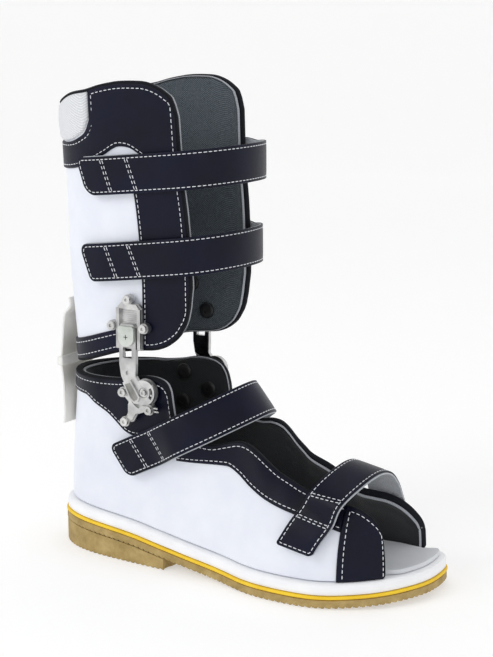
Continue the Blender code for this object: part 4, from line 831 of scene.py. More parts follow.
t = np.linspace(0, 1, 150)
half_round = 0.5 * t ** 1.25
round_cuff = np.concatenate((half_round, 1 - half_round[-2::-1]))
cuff = skin("cuff_leather", cuff_wall, round_cuff, low_edge, top_edge, 0.0, LEATHER, LEATHER_ROUND,
            white_leather, "white_leather", "cuff", rows=70, swell=soft_waves)
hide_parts("cuff_shell")
grey_mesh = spacer_mesh("grey_spacer_mesh", "75828C", "151B21", 1.5, 0.35)
cuff_lining = skin("cuff_lining_padded", lambda p, z, o: cuff_wall(p, z, -FIT - np.asarray(o)), round_cuff,
                   lambda p: low_edge(p) + 0.4, lambda p: top_edge(p) - 0.4, 0.0, CUFF_PADDING - 0.9, 2.2,
                   grey_mesh, "grey_mesh", "cuff", rows=60, swell=foam_swell(0.8, 12))
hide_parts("cuff_lining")


# ---------------------------------------------------------------- cuff edge finish
# The same foam strip and black binding run round the whole cut edge of the cuff.
def cuff_rim():
    """Closed line round the cuff's edge: up the lateral front, along the top, down, back along the bottom."""
    t = np.linspace(0, 1, 260)
    up = low_edge(0.0) + (top_edge(0.0) - low_edge(0.0)) * t
    ring = [(0.0 * t, up), (t, top_edge(t)), (1 - 0.0 * t, up[::-1]), (1 - t, low_edge(1 - t))]
    place = np.concatenate([part[0][:-1] for part in ring])
    z = np.concatenate([part[1][:-1] for part in ring])
    return place, z


rim_place, rim_z = cuff_rim()


def cuff_edge(name, offset, width, height, finish):
    """Strip on the cuff's rim, square to the wall and to the rim's own line."""
    line, normal = cuff_wall(rim_place, rim_z, offset)
    along = np.roll(line, -1, 0) - np.roll(line, 1, 0)
    ahead = np.cross(normal, along)
    ahead /= np.linalg.norm(ahead, axis=1, keepdims=True)
    return bead(name, line - ahead * 0.1, normal, ahead, width, height, finish, "cuff", closed=True)


cuff_edge("cuff_edge_foam", -3.0, 1.1, 0.4, grey_foam)
cuff_edge("cuff_edge_binding", 1.0, 2.5, 1.3, black_binding)


# ---------------------------------------------------------------- navy overlays of the cuff
# Front facings down both edges of the opening, a shaped overlay round the calf with a cut-out
# over the strap, and a band along the lower edge; all navy leather with white topstitching.
FACING_BACK, LOWER_BAND = 36.0, 14.5
PAD_FRONT, FACING_TOP = -0.5, 272.0
PAD_LOW = ((-45, 281), (-22, 282), (-12, 285.5), (-4.5, 291), (-0.5, 299))
SCALLOP = ((-45, 262), (-16, 264.3), (0, 269.5), (12, 275.5), (19, 279.5), (25.5, 281), (32, 280.2),
           (40, 276), (46, 272.6), (73, 272.4))
PAD_LEVEL, SCALLOP_LEVEL, FACING_LEVEL = 295.0, 270.0, 230.0     # heights at which places are measured
TOP_SEAM = SEAM_INSET + 0.8                          # topstitching below an upper edge, inside its binding
facing_place = float(cuff_place(FACING_BACK, -1, FACING_LEVEL))
pad_place = float(cuff_place(PAD_FRONT, -1, PAD_LEVEL))


def place_step(place, z):
    """Millimetres round the cuff for a unit of place, at one place."""
    a, b = (cuff_wall(place + d, z, OVER)[0] for d in (-0.003, 0.003))
    return np.linalg.norm(b - a, axis=-1) / 0.006


def overlay_top(place):
    """Upper edge of the calf overlay: the cuff's own edge, and round the back the pad's lower edge."""
    x = cuff_x(place, PAD_LEVEL)
    return np.where(x < PAD_FRONT + 0.9, through(PAD_LOW, x - 0.9) - 0.6, top_edge(place))


def scallop(place):
    """Lower edge of the calf overlay."""
    return through(SCALLOP, cuff_x(place, SCALLOP_LEVEL))


def frame_lines(start, end, low, high):
    """Topstitch lines inside all four edges of a cuff overlay: upper, lower and both ends."""
    middle = (start + end) / 2
    ends = [edge + np.sign(middle - edge) * SEAM_INSET / place_step(edge, FACING_LEVEL)
            for edge in (start, end)]
    across = np.linspace(*ends, 400)
    lines = [cuff_wall(across, high(across) - TOP_SEAM, FACE),
             cuff_wall(across, low(across) + SEAM_INSET + 0.3, FACE)]
    for edge in ends:
        heights = np.linspace(low(edge) + SEAM_INSET, high(edge) - TOP_SEAM, 200)
        lines.append(cuff_wall(edge, heights, FACE))
    return lines


def facing_top(place):
    """Upper edge of a front facing, under the strap."""
    return FACING_TOP + 0 * place


def band_top(place):
    """Upper edge of the lower band."""
    return low_edge(place) + LOWER_BAND


for side, name in ((-1, "lateral"), (1, "medial")):
    ends = (0.0, facing_place) if side < 0 else (1 - facing_place, 1.0)
    facing = skin(name + "_facing_leather", cuff_wall, ends[0] + (ends[1] - ends[0]) * eased(60), low_edge,
                  facing_top, OVER, OVERLAY, OVERLAY_ROUND, navy_leather, "navy_leather", "cuff", rows=90,
                  swell=soft_waves)
    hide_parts(name + "_front_facing")
    stitches(name + "_facing_stitching", frame_lines(*ends, low_edge, facing_top)[1:], "cuff")

BUTT = 0.0015                                        # where the band's ends butt, as a share round the cuff
inner_ends = facing_place + BUTT, 1 - facing_place - BUTT
band_places = inner_ends[0] + (inner_ends[1] - inner_ends[0]) * eased(220)
lower_band = skin("cuff_lower_band_leather", cuff_wall, band_places, low_edge, band_top, OVER, OVERLAY,
                  OVERLAY_ROUND, navy_leather, "navy_leather", "cuff", rows=22, swell=soft_waves)
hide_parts("cuff_lower_band")
stitches("cuff_lower_band_stitching", frame_lines(*inner_ends, low_edge, band_top)[:2], "cuff")
pad_step = pad_place - 0.004
half_way = np.concatenate((pad_step * eased(130), [pad_step + 0.0012],
                           np.linspace(pad_step + 0.006, 0.5, 70)))
overlay_places = np.concatenate((half_way, 1 - half_way[-2::-1]))
calf_overlay = skin("calf_overlay_leather", cuff_wall, overlay_places, scallop, overlay_top, OVER, OVERLAY,
                    OVERLAY_ROUND, navy_leather, "navy_leather", "cuff", rows=50, swell=soft_waves)
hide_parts("cuff_top_overlay")
front_step, pad_seam = SEAM_INSET / place_step(0.0, PAD_LEVEL), SEAM_INSET / place_step(pad_place, PAD_LEVEL)
whole = np.linspace(0.004, 0.996, 900)
across = np.linspace(front_step, pad_step - pad_seam, 300)
front_rise = np.linspace(FACING_TOP + 3, float(top_edge(front_step)) - TOP_SEAM, 100)
pad_rise = np.linspace(302.0, float(top_edge(pad_step)) - SEAM_INSET, 40)
round_pad = np.linspace(pad_step - pad_seam, 1 - pad_step + pad_seam, 600)
lines = [cuff_wall(whole, scallop(whole) + SEAM_INSET, FACE)]
for place, height in ((across, top_edge(across) - TOP_SEAM), (front_step + 0 * front_rise, front_rise),
                      (pad_step - pad_seam + 0 * pad_rise, pad_rise)):
    lines += [cuff_wall(place, height, FACE), cuff_wall(1 - place, height, FACE)]
lines.append(cuff_wall(round_pad, through(PAD_LOW, cuff_x(round_pad, PAD_LEVEL) - 4.2) - SEAM_INSET, FACE))
stitches("calf_overlay_stitching", lines, "cuff")


# ---------------------------------------------------------------- rear collar pad
# White spacer mesh over soft foam behind the calf, sewn under the navy overlay: the foam presses
# the knit into a low crown.
white_mesh = spacer_mesh("white_spacer_mesh", "FAFAFB", "C9CCD2", 2.0, 0.45)
PRESS_FRAMES = 20


def pressed(made, cap, pressure=4.0):
    """Cloth under inner pressure for PRESS_FRAMES, with no gravity; no point moves further than cap,
    in metres."""
    start = np.empty(len(made.data.vertices) * 3)
    made.data.vertices.foreach_get("co", start)
    work = made.copy()
    work.data = made.data.copy()
    bpy.context.scene.collection.objects.link(work)
    cloth = work.modifiers.new("cloth", "CLOTH")
    cloth.settings.use_pressure = True
    cloth.settings.uniform_pressure_force = pressure
    cloth.settings.effector_weights.gravity = 0
    cloth.settings.tension_stiffness = cloth.settings.compression_stiffness = 15
    for number in range(1, PRESS_FRAMES + 1):
        bpy.context.scene.frame_set(number)
    shaped = work.evaluated_get(bpy.context.evaluated_depsgraph_get())
    end = np.empty(len(start))
    shaped.data.vertices.foreach_get("co", end)
    moved = (end - start).reshape(-1, 3)
    far = np.linalg.norm(moved, axis=1, keepdims=True)
    moved *= np.minimum(1, cap / np.maximum(far, 1e-9))
    made.data.vertices.foreach_set("co", start + moved.ravel())
    bpy.data.objects.remove(work)
    bpy.context.scene.frame_set(1)
    made.data.update()
    return made


pad_ends = pad_place + 0.0012, 1 - pad_place - 0.0012
pad = skin("rear_pad_padded", cuff_wall, pad_ends[0] + (pad_ends[1] - pad_ends[0]) * eased(90),
           lambda p: through(PAD_LOW, cuff_x(p, PAD_LEVEL)), lambda p: top_edge(p) - 0.5, OVER,
           PAD_THICK - 1.0, 5.0, white_mesh, "white_mesh", "cuff", rows=44, swell=foam_swell(0.6, 10))
pressed(pad, 0.0008)
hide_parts("rear_collar_pad")


# ---------------------------------------------------------------- straps
# Four hook-and-loop straps. Each is navy leather, lockstitched along its edges and in two double
# rows across, over grey loop tape; it is sewn on the medial side and closes on a hook patch.
STRAP_WIDTH, STRAP_LEAF, STRAP_OUT = 25.0, 1.1, 6.8
ROW_GAP = 1.9                            # between the two rows of a pair, mm


def loop_tape(name, light, dark):
    """Brushed nylon loop: matt, fuzzy, with tufts about 0.6 mm wide that catch light at the edge."""
    made, tree, shader = new_finish(name, Roughness=0.95, Sheen_Weight=0.5, Sheen_Roughness=0.6)
    where = add(tree, "TexCoord").outputs["Object"]
    tufts = add(tree, "TexNoise", {"Vector": where, "Scale": 1700.0, "Detail": 3.0, "Roughness": 0.7})
    tree.links.new(ramp(tree, tufts.outputs["Fac"], (0.3, dark), (0.7, light)), shader.inputs["Base Color"])
    bump = add(tree, "Bump", {"Height": tufts.outputs["Fac"], "Strength": 0.8, "Distance": 0.0004})
    tree.links.new(bump.outputs["Normal"], shader.inputs["Normal"])
    return made


grey_loop = loop_tape("brushed_nylon_loop_tape", "C9CDD3", "8F959E")


def smooth_open(points, steps):
    """Catmull-Rom curve through points, ends included."""
    points = np.vstack((2 * points[0] - points[1], points, 2 * points[-1] - points[-2]))
    t = (np.arange(steps) / steps)[:, None]
    spans = [0.5 * (2 * p1 + (p2 - p0) * t + (2 * p0 - 5 * p1 + 4 * p2 - p3) * t ** 2
                    + (3 * p1 - p0 - 3 * p2 + p3) * t ** 3)
             for p0, p1, p2, p3 in zip(points, points[1:], points[2:], points[3:])]
    return np.vstack((*spans, points[-2:-1]))


def corner_line(w, half, upper, lower, shear):
    """u at which the strap's end stands for each w: a slanted line, rounded off at both sides by quarter
    circles of radius upper and lower."""
    radius = np.where(w < 0, upper, lower)
    over = np.clip(np.abs(w) - (half - radius), 0, radius)
    return shear * w + radius - np.sqrt(np.maximum(radius ** 2 - over ** 2, 0))


class StrapLine:
    """Middle line of a strap: at(u, w, h) is the point u along it, w across it and h above it, in mm."""

    def __init__(self, knots, steps=14):
        """knots are (point, outward direction) pairs; both run through a Catmull-Rom curve."""
        points = smooth_open(np.array([p for p, _ in knots]), steps)
        outs = smooth_open(np.array([n for _, n in knots]), steps)
        self.points = points
        self.along = np.gradient(points, axis=0)
        self.along /= np.linalg.norm(self.along, axis=1, keepdims=True)
        self.out = outs - self.along * (outs * self.along).sum(1, keepdims=True)
        self.out /= np.linalg.norm(self.out, axis=1, keepdims=True)
        self.arc = np.concatenate(([0], np.cumsum(np.linalg.norm(np.diff(points, axis=0), axis=1))))
        self.steps = steps

    def at(self, u, w, h):
        """Point and outward direction there; past an end the line goes straight on."""
        u, w, h = np.broadcast_arrays(np.asarray(u, float), w, h)
        inside = np.clip(u, 0, self.arc[-1])
        point, along, out = (np.stack([np.interp(inside, self.arc, line[:, k]) for k in range(3)], -1)
                             for line in (self.points, self.along, self.out))
        across = np.cross(along, out)
        out = out / np.linalg.norm(out, axis=-1, keepdims=True)
        return point + along * (u - inside)[..., None] + across * w[..., None] + out * h[..., None], out


SEAM_IN, SEAM_HALF = 2.0, 0.5            # the groove that the thread pulls, inside the edge, mm


def strap_leaf(name, line, left, right, start, end, base, thick, shape, finish, soft=0.45, seam=0.16):
    """One layer of a strap between w left and right: its edge rounds off within soft as sqrt(1 - t^2), and
    the thread pulls a groove seam deep, as a bell curve of the edge distance."""
    middle, half = (left + right) / 2, (right - left) / 2
    w = half * np.sin(np.linspace(-0.5, 0.5, 27) * np.pi)
    lead = np.array((0, 0.03, 0.1, 0.22, 0.4, 0.65, 1.0, 1.4, 1.8, 2.2, 2.7, 3.4))
    length = end - start
    body = np.linspace(lead[-1] + 1, length - lead[-1] - 1, int(length / 1.5))
    u = np.concatenate((lead, body, length - lead[::-1]))
    begin = corner_line(w, half, *shape)
    share = 1 - u / length
    along = start + u[:, None] + begin[None, :] * share[:, None]
    edge = np.minimum(half - np.abs(w)[None, :], np.minimum(u, length - u)[:, None])
    full = 1 - np.clip(edge / soft, 0, 1)
    crown = np.sqrt(np.maximum(1 - full ** 2, 0))
    groove = seam * np.exp(-((edge - SEAM_IN) / SEAM_HALF) ** 2) - 0.08 * np.clip((edge - 3) / 3, 0, 1)
    half_up = base + thick * 0.5
    top = line.at(along, middle + w[None, :], half_up + thick * 0.5 * crown - groove)[0]
    under = line.at(along, middle + w[None, :], half_up - thick * 0.5 * crown)[0]
    rows, columns = top.shape[:2]
    face = quads(rows, columns)
    faces = np.vstack((face, face[:, ::-1] + rows * columns))
    run = np.stack(np.broadcast_arrays(along, middle + w[None, :], edge), -1).reshape(-1, 3)
    return piece(name, np.vstack((top.reshape(-1, 3), under.reshape(-1, 3))), faces.tolist(), finish,
                 sharp=60, run=np.vstack((run, run)))


def strap(name, knots, medial_from, body, shape, rows, patch_end, tape_lip, patch_lip):
    """Strap with its stitching and landing patch.

    medial_from picks a knot, at which a point is found that nothing uses.
    shape is (upper corner, lower corner, slant); rows are the places of the pairs of cross rows;
    the lips are how far the tape shows below the leather and the hook patch above it.
    """
    line = StrapLine(knots)
    end = line.arc[-1]
    hinge = line.arc[medial_from * line.steps]
    upper, lower, slant = shape
    half = STRAP_WIDTH / 2
    leather = strap_leaf(name + "_strap_leather", line, -half, half, 0.0, end, 0.0, STRAP_LEAF, shape,
                         navy_leather)
    tape = strap_leaf(name + "_strap_loop_tape", line, -half + 0.3, half + tape_lip, 0.5, end - 0.3,
                      -STRAP_LEAF - 0.02, STRAP_LEAF - 0.03, shape, grey_loop, soft=0.25,
                      seam=0.0)
    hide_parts(name + "_strap", name + "_strap_root")
    inner = half - SEAM_IN
    w = inner * np.sin(np.linspace(-0.5, 0.5, 90) * np.pi)
    turn = corner_line(w, inner, max(upper - SEAM_IN, 0.5), max(lower - SEAM_IN, 0.5), slant) + SEAM_IN
    root_seam = end - SEAM_IN - 0.2
    back = np.linspace(root_seam, turn[0], 400)[:-1]
    out = np.linspace(turn[-1], root_seam, 400)[1:]
    u = np.concatenate((back, turn, out))
    across = np.concatenate((np.full(len(back), -inner), w, np.full(len(out), inner)))
    lines = [line.at(u, across, STRAP_LEAF - 0.1)]
    w = np.linspace(-inner, inner, 60)
    for place in rows:
        for gap in (0.0, ROW_GAP):
            lines.append(line.at(place + gap + slant * w, w, STRAP_LEAF + 0.02))
    sewn = stitches(name + "_strap_stitching", lines, None)
    point = Vector(line.at(hinge, 0.0, STRAP_LEAF)[0] * MM)
    for made in (leather, tape, sewn):
        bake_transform(made)
    patch = strap_leaf(name + "_hook_patch", line, -half - patch_lip, half - 4.0, 1.5, patch_end,
                       -STRAP_LEAF - 1.35, 1.05, (4.0, 4.0, slant), grey_loop, soft=0.25,
                       seam=0.0)
    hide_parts(name + "_strap_landing")
    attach(patch, body)
    return line


def calf_knots(rear_x, rear_z, nose_x, nose_z, root_x=18.0, turn=64.0):
    """Round the cuff: along the lateral wall, half an ellipse in front of the opening, along the medial
    wall. The strap climbs evenly from (rear_x, rear_z) to (nose_x, nose_z); root_x is its sewn end."""
    def height(x):
        return rear_z + (nose_z - rear_z) * (x - rear_x) / (nose_x - rear_x)

    knots = []
    for x in np.linspace(rear_x, turn, 6):
        knots.append(cuff_wall(cuff_place(x, -1, height(x)), height(x), STRAP_OUT))
    start = knots[-1][0]
    for angle in np.radians(np.arange(-72, 90, 18)):
        x = start[0] + (nose_x - start[0]) * math.cos(angle)
        knots.append((np.array((x, -start[1] * math.sin(angle), height(x))),
                      np.array((math.cos(angle), math.sin(angle), 0.0))))
    for x in np.linspace(turn, root_x, 5):
        z = nose_z - 0.35 * (nose_x - x) * (nose_z - rear_z) / (nose_x - rear_x)
        knots.append(cuff_wall(cuff_place(x, 1, z), z, STRAP_OUT))
    return knots


def on_shoe(x, z, side, offset):
    """Point and normal of the shoe wall at x and z, found step by step."""
    place = column_at(x, side)
    for _ in range(12):
        error = x - shoe_wall(place, share_at(place, z), 0)[0][..., 0]
        place = np.clip(place + error * side * 0.08, 0, LAST)
    return shoe_wall(place, share_at(place, z), offset)


def foot_knots(lateral, crossing, medial, centre, lift=0.0):
    """Over the open shoe: on the lateral wall, free over the foot, on the medial wall. Where it is free it
    faces away from centre."""
    knots = [on_shoe(x, z, -1, STRAP_OUT + lift) for x, z in lateral]
    for point in crossing:
        out = np.array(point, float) - centre
        knots.append((np.array(point, float), out / np.linalg.norm(out)))
    return knots + [on_shoe(x, z, 1, STRAP_OUT) for x, z in medial]


strap("upper_calf", calf_knots(-4.0, 260.0, 97.0, 271.0), 15, "cuff", (4.5, 8.0, 0.28),
      (20.5, 40.0), 44.0, -0.3, 0.45)
strap("lower_calf", calf_knots(-3.0, 203.0, 95.0, 216.0), 15, "cuff", (6.5, 4.0, 0.3),
      (21.5, 39.5), 44.0, -0.3, 0.45)
strap("instep", foot_knots(
    ((19, 70.5), (34, 78), (48, 85)),
    ((66, -47.5, 94.5), (83, -39, 104), (97, -20, 112.5), (101, 2, 115.5), (95, 22, 112), (83, 38, 105)),
    ((66, 92), (56, 86), (45, 81)), (55, 0, 80), 0.9),
    9, "shoe", (5.5, 6.5, 0.2), (18.5, 36.0), 38.0, 0.5, -0.5)
strap("toe", foot_knots(
    ((159, 34), (164, 44), (169, 53)),
    ((175, -39, 68.5), (180, -23, 77.5), (182, -3, 81), (181, 15, 77), (179, 30, 67)),
    ((177, 49), (176, 41), (175, 33)), (170, 0, 20)),
    8, "shoe", (2.5, 3.0, 0.25), (21.0, 38.0), 24.0, 0.5, -0.5)


# ---------------------------------------------------------------- ankle hardware
# Cast and milled aluminium, bead blasted to a satin grey, with steel screws: a foot plate, a hinged
# upright and a slotted bracket each side. Those shapes are the frame's own and only get a finish;
# the marks, the nuts' nylon caps and the tension screws are added here, with a dark ribbed plate on
# each link's inner face that is painted shade, standing in for the shadow on that side.
def blasted_metal(name, light, dark, roughness, grain_mm=0.25):
    """Bead-blasted metal: an even, soft gloss with grains about grain_mm wide, smoother and brighter where
    it is rubbed."""
    made, tree, shader = new_finish(name, Metallic=1.0)
    where = add(tree, "TexCoord").outputs["Object"]
    rubbed = add(tree, "TexNoise", {"Vector": where, "Scale": 120.0, "Detail": 4.0})
    grain = add(tree, "TexNoise", {"Vector": where, "Scale": 1000.0 / grain_mm, "Detail": 2.0})
    tree.links.new(ramp(tree, rubbed.outputs["Fac"], (0.3, dark), (0.7, light)), shader.inputs["Base Color"])
    rough = add(tree, "MapRange", {"Value": rubbed.outputs["Fac"], "To Min": roughness + 0.08,
                                   "To Max": roughness - 0.08})
    tree.links.new(rough.outputs["Result"], shader.inputs["Roughness"])
    bump = add(tree, "Bump", {"Height": grain.outputs["Fac"], "Strength": 0.15, "Distance": 0.00003})
    tree.links.new(bump.outputs["Normal"], shader.inputs["Normal"])
    return made


aluminium = blasted_metal("bead_blasted_aluminium", "D6D6D5", "ABABAB", 0.34)
steel = blasted_metal("polished_screw_steel", "DEDEDD", "B2B2B1", 0.24, 0.15)
milled = blasted_metal("milled_steel_face", "A3A29E", "858480", 0.42, 0.4)
plated = blasted_metal("zinc_plated_cover", "D5D9D4", "BEC3BE", 0.4, 0.3)
# Dark metal: the real colour of the clamp marks, and painted shade on the plate and ribs laid over each
# link's inner face.
marks_and_painted_shade = blasted_metal("dark_marks_and_painted_shade_metal", "2A2A2C", "141416", 0.4)
black_plastic = moulded_rubber("black_moulded_nylon", "17181B", "0D0E10", 0.45)
METALS = {"foot_plate": aluminium, "upright_link": aluminium, "bracket": aluminium, "clamp_cover": plated,
          "pivot_bushing": steel, "pivot_screw": steel}
for node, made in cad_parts.items():
    kind = node.partition("_")[2]
    finish = steel if "_bolt_" in node else METALS.get(kind)
    if node.startswith(("lateral_", "medial_")) and finish:
        for hold in made.material_slots:
            hold.material = finish


def prism(name, outline, near, far, finish, body, side):
    """Flat shape from an x-z outline, between two distances from the mid plane on one side."""
    outline = np.array(outline, float)
    count = len(outline)
    points = [(x, side * y, z) for y in (near, far) for x, z in outline]
    ring = [(k, (k + 1) % count, count + (k + 1) % count, count + k) for k in range(count)]
    ends = [list(range(count)), list(range(count, 2 * count))]
    made = piece(name, points, ends + ring, finish)
    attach(made, body)
    return made


def node_box(name):
    """Corners of a frame node, in mm."""
    return np.array(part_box(name)) / MM


def turned(name, profile, centre, side, finish, body, steps=32):
    """Body of revolution about Y from (radius, distance from the mid plane) points, in mm."""
    a = np.linspace(0, 2 * np.pi, steps, endpoint=False)
    profile = np.array(profile, float)
    r, y = profile[:, 0][:, None], profile[:, 1][:, None]
    ring = np.stack(np.broadcast_arrays(centre[0] + r * np.cos(a), side * y, centre[1] + r * np.sin(a)), -1)
    faces = quads(len(profile), steps, wrap=True).tolist()
    made = piece(name, ring.reshape(-1, 3), faces, finish, sharp=50)
    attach(made, body)
    return made


LINK_LEFT, LINK_RIGHT, CLAMP_CENTRE = 24.9, 36.5, (30.7, 157.6)
BLOCK_FACE = ((29.6, 125.9), (33.1, 127.2), (39.2, 118.4), (38.5, 116.5), (36.6, 115.7), (34.5, 117.2))
# Outline of the dark plate on each link's inner face, with its window: painted shade for the shadow there.
LINK_SHADE_PLATE = ((LINK_LEFT, 139.0), (LINK_LEFT, 146.0), (27.0, 146.0), (27.0, 143.2), (34.2, 143.2),
              (34.2, 146.0), (LINK_RIGHT, 146.0), (LINK_RIGHT, 139.4), (36.4, 132.0), (38.6, 128.6),
              (30.4, 128.6), (26.2, 131.4))
RIB_MIDDLE, RIB_REACH, RIB_LEAN, RIB_HALF = 31.4, 3.2, 1.5, 0.35
TENSION_SCREW = ((48.0, 0.7), (52.6, 0.7), (53.0, 0.45))         # x and radius along the screw, mm


def nut_cap(radius, inner):
    """Half section of a nut's cap: a plate behind the wall and a shallow dome with a hole in it."""
    return ((0.0, inner + 1.2), (radius + 0.5, inner + 1.2), (radius + 0.5, inner + 0.3),
            (radius, inner - 0.35), (radius - 1.2, inner - 0.6), (1.7, inner - 0.6), (1.5, inner - 0.1),
            (0.0, inner - 0.1))


for side, name in ((-1, "lateral"), (1, "medial")):
    cover = np.abs(node_box(name + "_clamp_cover")[:, 1]).max()
    x, z = CLAMP_CENTRE
    for k, (dx, dz) in enumerate(((1.6, 0.22), (0.22, 1.6))):
        prism("%s_clamp_mark_%d" % (name, k),
              ((x - dx, z - dz), (x + dx, z - dz), (x + dx, z + dz), (x - dx, z + dz)),
              cover - 0.1, cover + 0.06, marks_and_painted_shade, "uprights", side)
    block = np.abs(node_box(name + "_upright_link")[:, 1]).max() - 0.8
    prism(name + "_block_face", BLOCK_FACE, block - 0.1, block + 0.12, milled, "uprights", side)
    for body, kind in (("shoe", "foot_plate"), ("cuff", "bracket")):
        for number in (1, 2, 3):
            low, high = node_box("%s_%s_bolt_%d" % (name, kind, number))
            x, z = (low[0] + high[0]) / 2, (low[2] + high[2]) / 2
            radius = (high[0] - low[0]) / 2
            inner = min(abs(low[1]), abs(high[1]))
            turned("%s_%s_nut_cap_%d" % (name, kind, number), nut_cap(radius, inner), (x, z), side,
                   black_plastic, body)
    mid = np.abs(node_box(name + "_foot_plate")[:, 1]).mean() + 0.6
    a = np.linspace(0, 2 * np.pi, 10, endpoint=False)
    for k, z in enumerate((111.6, 109.4)):
        points = [np.stack((np.full(10, x + k * 0.8), side * (mid + r * np.cos(a)), z + r * np.sin(a)), 1)
                  for x, r in TENSION_SCREW]
        faces = quads(3, 10, wrap=True).tolist() + [list(range(10)), list(range(20, 30))]
        screw = piece("%s_tension_screw_%d" % (name, k), np.vstack(points), faces, steel)
        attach(screw, "shoe")
    # Dark plate on the link's inner face: painted shade, a dark sheet put where the link only lies in shadow.
    back = np.abs(node_box(name + "_upright_link")[:, 1]).min()
    prism(name + "_link_painted_shade_plate", LINK_SHADE_PLATE, back - 0.7, back - 0.05, marks_and_painted_shade, "uprights", side)
    # Ribs on that plate, in the same dark painted shade.
    left, right = RIB_MIDDLE - RIB_REACH, RIB_MIDDLE + RIB_REACH
    for k, z in enumerate((131.8, 135.6, 139.4)):
        for lean in (-1, 1):
            fall, rise = z - lean * RIB_LEAN, z + lean * RIB_LEAN
            prism("%s_link_rib_%d_%d" % (name, k, lean + 1),
                  ((left, fall - RIB_HALF), (right, rise - RIB_HALF), (right, rise + RIB_HALF),
                   (left, fall + RIB_HALF)),
                  back - 1.1, back - 0.6, marks_and_painted_shade, "uprights", side)


# ---------------------------------------------------------------- rear elastic
# White elastic webbing 36 mm wide with rubber-cored ribs, off-white on its inner face. It pulls the
# cuff back towards the heel: one end is sewn to each, and a moulded slider joins them.
ELASTIC_WIDTH, ELASTIC_THICK, RIB_PITCH, PICK = 36.0, 1.8, 1.5, 0.8       # mm
SEWN_OUT = LEATHER + FIT + ELASTIC_THICK / 2
UPPER_BOW = ((162, -40.6), (155, -42.2), (147, -42.8), (139, -43.5), (131.4, -44.2))
LOWER_BOW = ((124.2, -44.2), (118, -43.3), (110, -42.6), (102, -42.4), (96, -42.2))
UPPER_SEAM, LOWER_SEAM = (173.0, 167.0), (90.0, 84.0)


def elastic_finish(name, light, dark):
    """Ribbed elastic: ribs RIB_PITCH apart along the band and weft PICK apart across it, in dull yarn."""
    made, tree, shader = new_finish(name, Roughness=0.75, Sheen_Weight=0.3)
    run = add(tree, "Attribute", attribute_name="run").outputs["Vector"]
    parts = add(tree, "SeparateXYZ", {"Vector": run})
    waves = []
    for axis, pitch in (("Y", RIB_PITCH), ("X", PICK)):
        turn = add(tree, "Math", {0: parts.outputs[axis], 1: 2 * math.pi / pitch}, operation="MULTIPLY")
        waves.append(add(tree, "Math", {0: turn.outputs[0]}, operation="SINE").outputs[0])
    both = add(tree, "Math", {0: waves[0], 1: 0.35, 2: waves[1]}, operation="MULTIPLY_ADD")
    level = add(tree, "MapRange", {"Value": both.outputs[0], "From Min": -1.35, "From Max": 1.35})
    colour = ramp(tree, level.outputs["Result"], (0.2, dark), (0.7, light))
    tree.links.new(colour, shader.inputs["Base Color"])
    bump = add(tree, "Bump", {"Height": level.outputs["Result"], "Strength": 0.6, "Distance": 0.0004})
    tree.links.new(bump.outputs["Normal"], shader.inputs["Normal"])
    return made


white_elastic = elastic_finish("white_ribbed_elastic", "FFFFFF", "F0F0F0")
beige_elastic = elastic_finish("beige_elastic_back", "F6F4EE", "E8E5DA")
upper_line = [(cuff_wall(0.5, float(z), SEWN_OUT)[0][0], z) for z in UPPER_SEAM]
upper_line += [(x, z) for z, x in UPPER_BOW]
lower_line = [(x, z) for z, x in LOWER_BOW]
lower_line += [(shoe_wall(MIDDLE, share_at(MIDDLE, z), SEWN_OUT)[0][..., 0].item(), z) for z in LOWER_SEAM]
BEND_X, SQUARE_END = -0.043, (0.5, 0.5, 0.0)         # m; corner radii and slant, mm
for name, spots, bodies, bend in (("rear_elastic_upper", upper_line, ("uprights", "cuff"), (0.133, 0.160)),
                                  ("rear_elastic_lower", lower_line, ("shoe", "uprights"), (0.096, 0.124))):
    line = StrapLine([(np.array((x, 0.0, z)), np.array((-1.0, 0.0, 0.0))) for x, z in spots])
    half, end = ELASTIC_WIDTH / 2, line.arc[-1]
    outer = strap_leaf(name + "_webbing", line, -half, half, 0.0, end, -0.4, 1.3, SQUARE_END, white_elastic,
                       soft=0.5, seam=0.0)
    inner = strap_leaf(name + "_back", line, -half + 0.2, half - 0.2, 0.1, end - 0.1, -0.9, 0.48, SQUARE_END,
                       beige_elastic, soft=0.2, seam=0.0)
    rows = (4.0, 6.5) if name.endswith("upper") else (end - 4.0, end - 6.5)
    w = np.linspace(-half + 2, half - 2, 60)
    sewn = stitches(name + "_stitching", [line.at(row, w, 0.85) for row in rows], None)
    for made in (outer, inner, sewn):
        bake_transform(made)
    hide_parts(name)

clear = moulded_rubber("milky_moulded_polypropylene", "F1F1EE", "E4E4E0", 0.35)
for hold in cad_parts["rear_elastic_slider"].material_slots:
    hold.material = clear


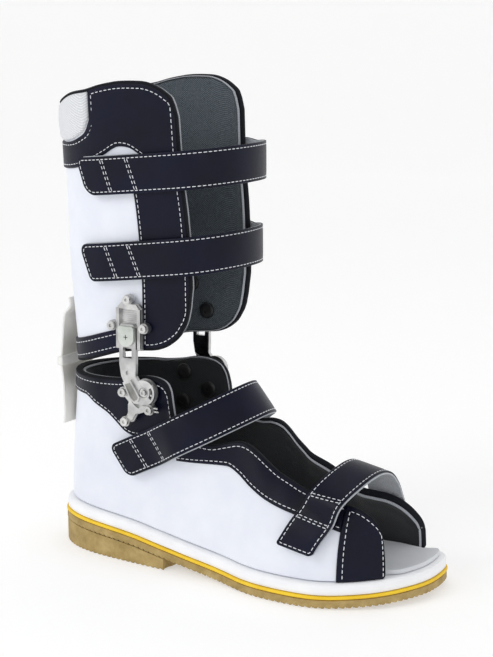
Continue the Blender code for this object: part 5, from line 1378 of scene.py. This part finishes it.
# ---------------------------------------------------------------- studio
# White seamless paper that curves up all round like a bowl, a large soft light from the camera's
# left, a weak fill from its right and a soft light from above.
def studio():
    """Bowl of paper: the sum of a flat disc, a quarter circle and an upright wall, turned about Z."""
    paper, tree, shader = new_finish("white_paper", Roughness=0.9)
    shader.inputs["Base Color"].default_value = srgb("CBCBCB")
    shader.inputs["Emission Color"].default_value = srgb("FFFFFF")
    shader.inputs["Emission Strength"].default_value = 0.46
    radius, bend, height = 3200.0, 900.0, 2600.0
    turn = 0.5 * np.pi * np.linspace(0, 1, 16)
    reach = np.concatenate(([1.0, 600.0], radius - bend + bend * np.sin(turn), [radius]))
    rise = np.concatenate(([0.0, 0.0], bend - bend * np.cos(turn), [height])) - 0.05
    a = np.linspace(0, 2 * np.pi, 96, endpoint=False)
    grid = np.stack(np.broadcast_arrays(reach[:, None] * np.cos(a), reach[:, None] * np.sin(a),
                                        rise[:, None]), -1)
    mesh = bpy.data.meshes.new("paper")
    mesh.from_pydata((grid.reshape(-1, 3) * MM).tolist(), [],
                     quads(len(reach), len(a), wrap=True).tolist() + [list(range(len(a)))])
    mesh.shade_smooth()
    made = bpy.data.objects.new("paper", mesh)
    bpy.context.scene.collection.objects.link(made)
    mesh.materials.append(paper)


def soft_light(name, place, aim, size, power):
    """Round soft box: size across in metres, power in watts, turned towards aim."""
    lamp = bpy.data.lights.new(name, "AREA")
    lamp.shape, lamp.size, lamp.energy = "DISK", size, power
    made = bpy.data.objects.new(name, lamp)
    made.location = place
    made.rotation_euler = (Vector(aim) - Vector(place)).to_track_quat("-Z", "Y").to_euler()
    bpy.context.scene.collection.objects.link(made)


studio()
soft_light("key", (-0.7, -1.4, 1.3), (0.05, 0, 0.12), 0.9, 8)
soft_light("fill", (1.6, -1.2, 0.8), (0.05, 0, 0.15), 1.2, 2)
soft_light("top", (0.1, 0.2, 1.9), (0.05, 0, 0.1), 1.4, 4)
world = bpy.data.worlds.new("studio")
bpy.context.scene.world = world
world.use_nodes = True
world.node_tree.nodes["Background"].inputs["Color"].default_value = (1, 1, 1, 1)
world.node_tree.nodes["Background"].inputs["Strength"].default_value = 0.5
bpy.context.scene.view_settings.view_transform = "Standard"

AZIMUTH, ELEVATION, DISTANCE = math.radians(32.0), math.radians(11.47), 1.24
TARGET = Vector((0.06, 0.0, 0.15))
camera = bpy.data.cameras.new("camera")
camera.sensor_width, camera.lens = 36.0, 102.06
camera.shift_x, camera.shift_y = 0.0658, 0.0188
eye = bpy.data.objects.new("camera", camera)
back = Vector((math.sin(AZIMUTH) * math.cos(ELEVATION), -math.cos(AZIMUTH) * math.cos(ELEVATION),
               math.sin(ELEVATION)))
eye.location = TARGET + back * DISTANCE
eye.rotation_euler = back.to_track_quat("Z", "Y").to_euler()
bpy.context.scene.collection.objects.link(eye)
bpy.context.scene.camera = eye
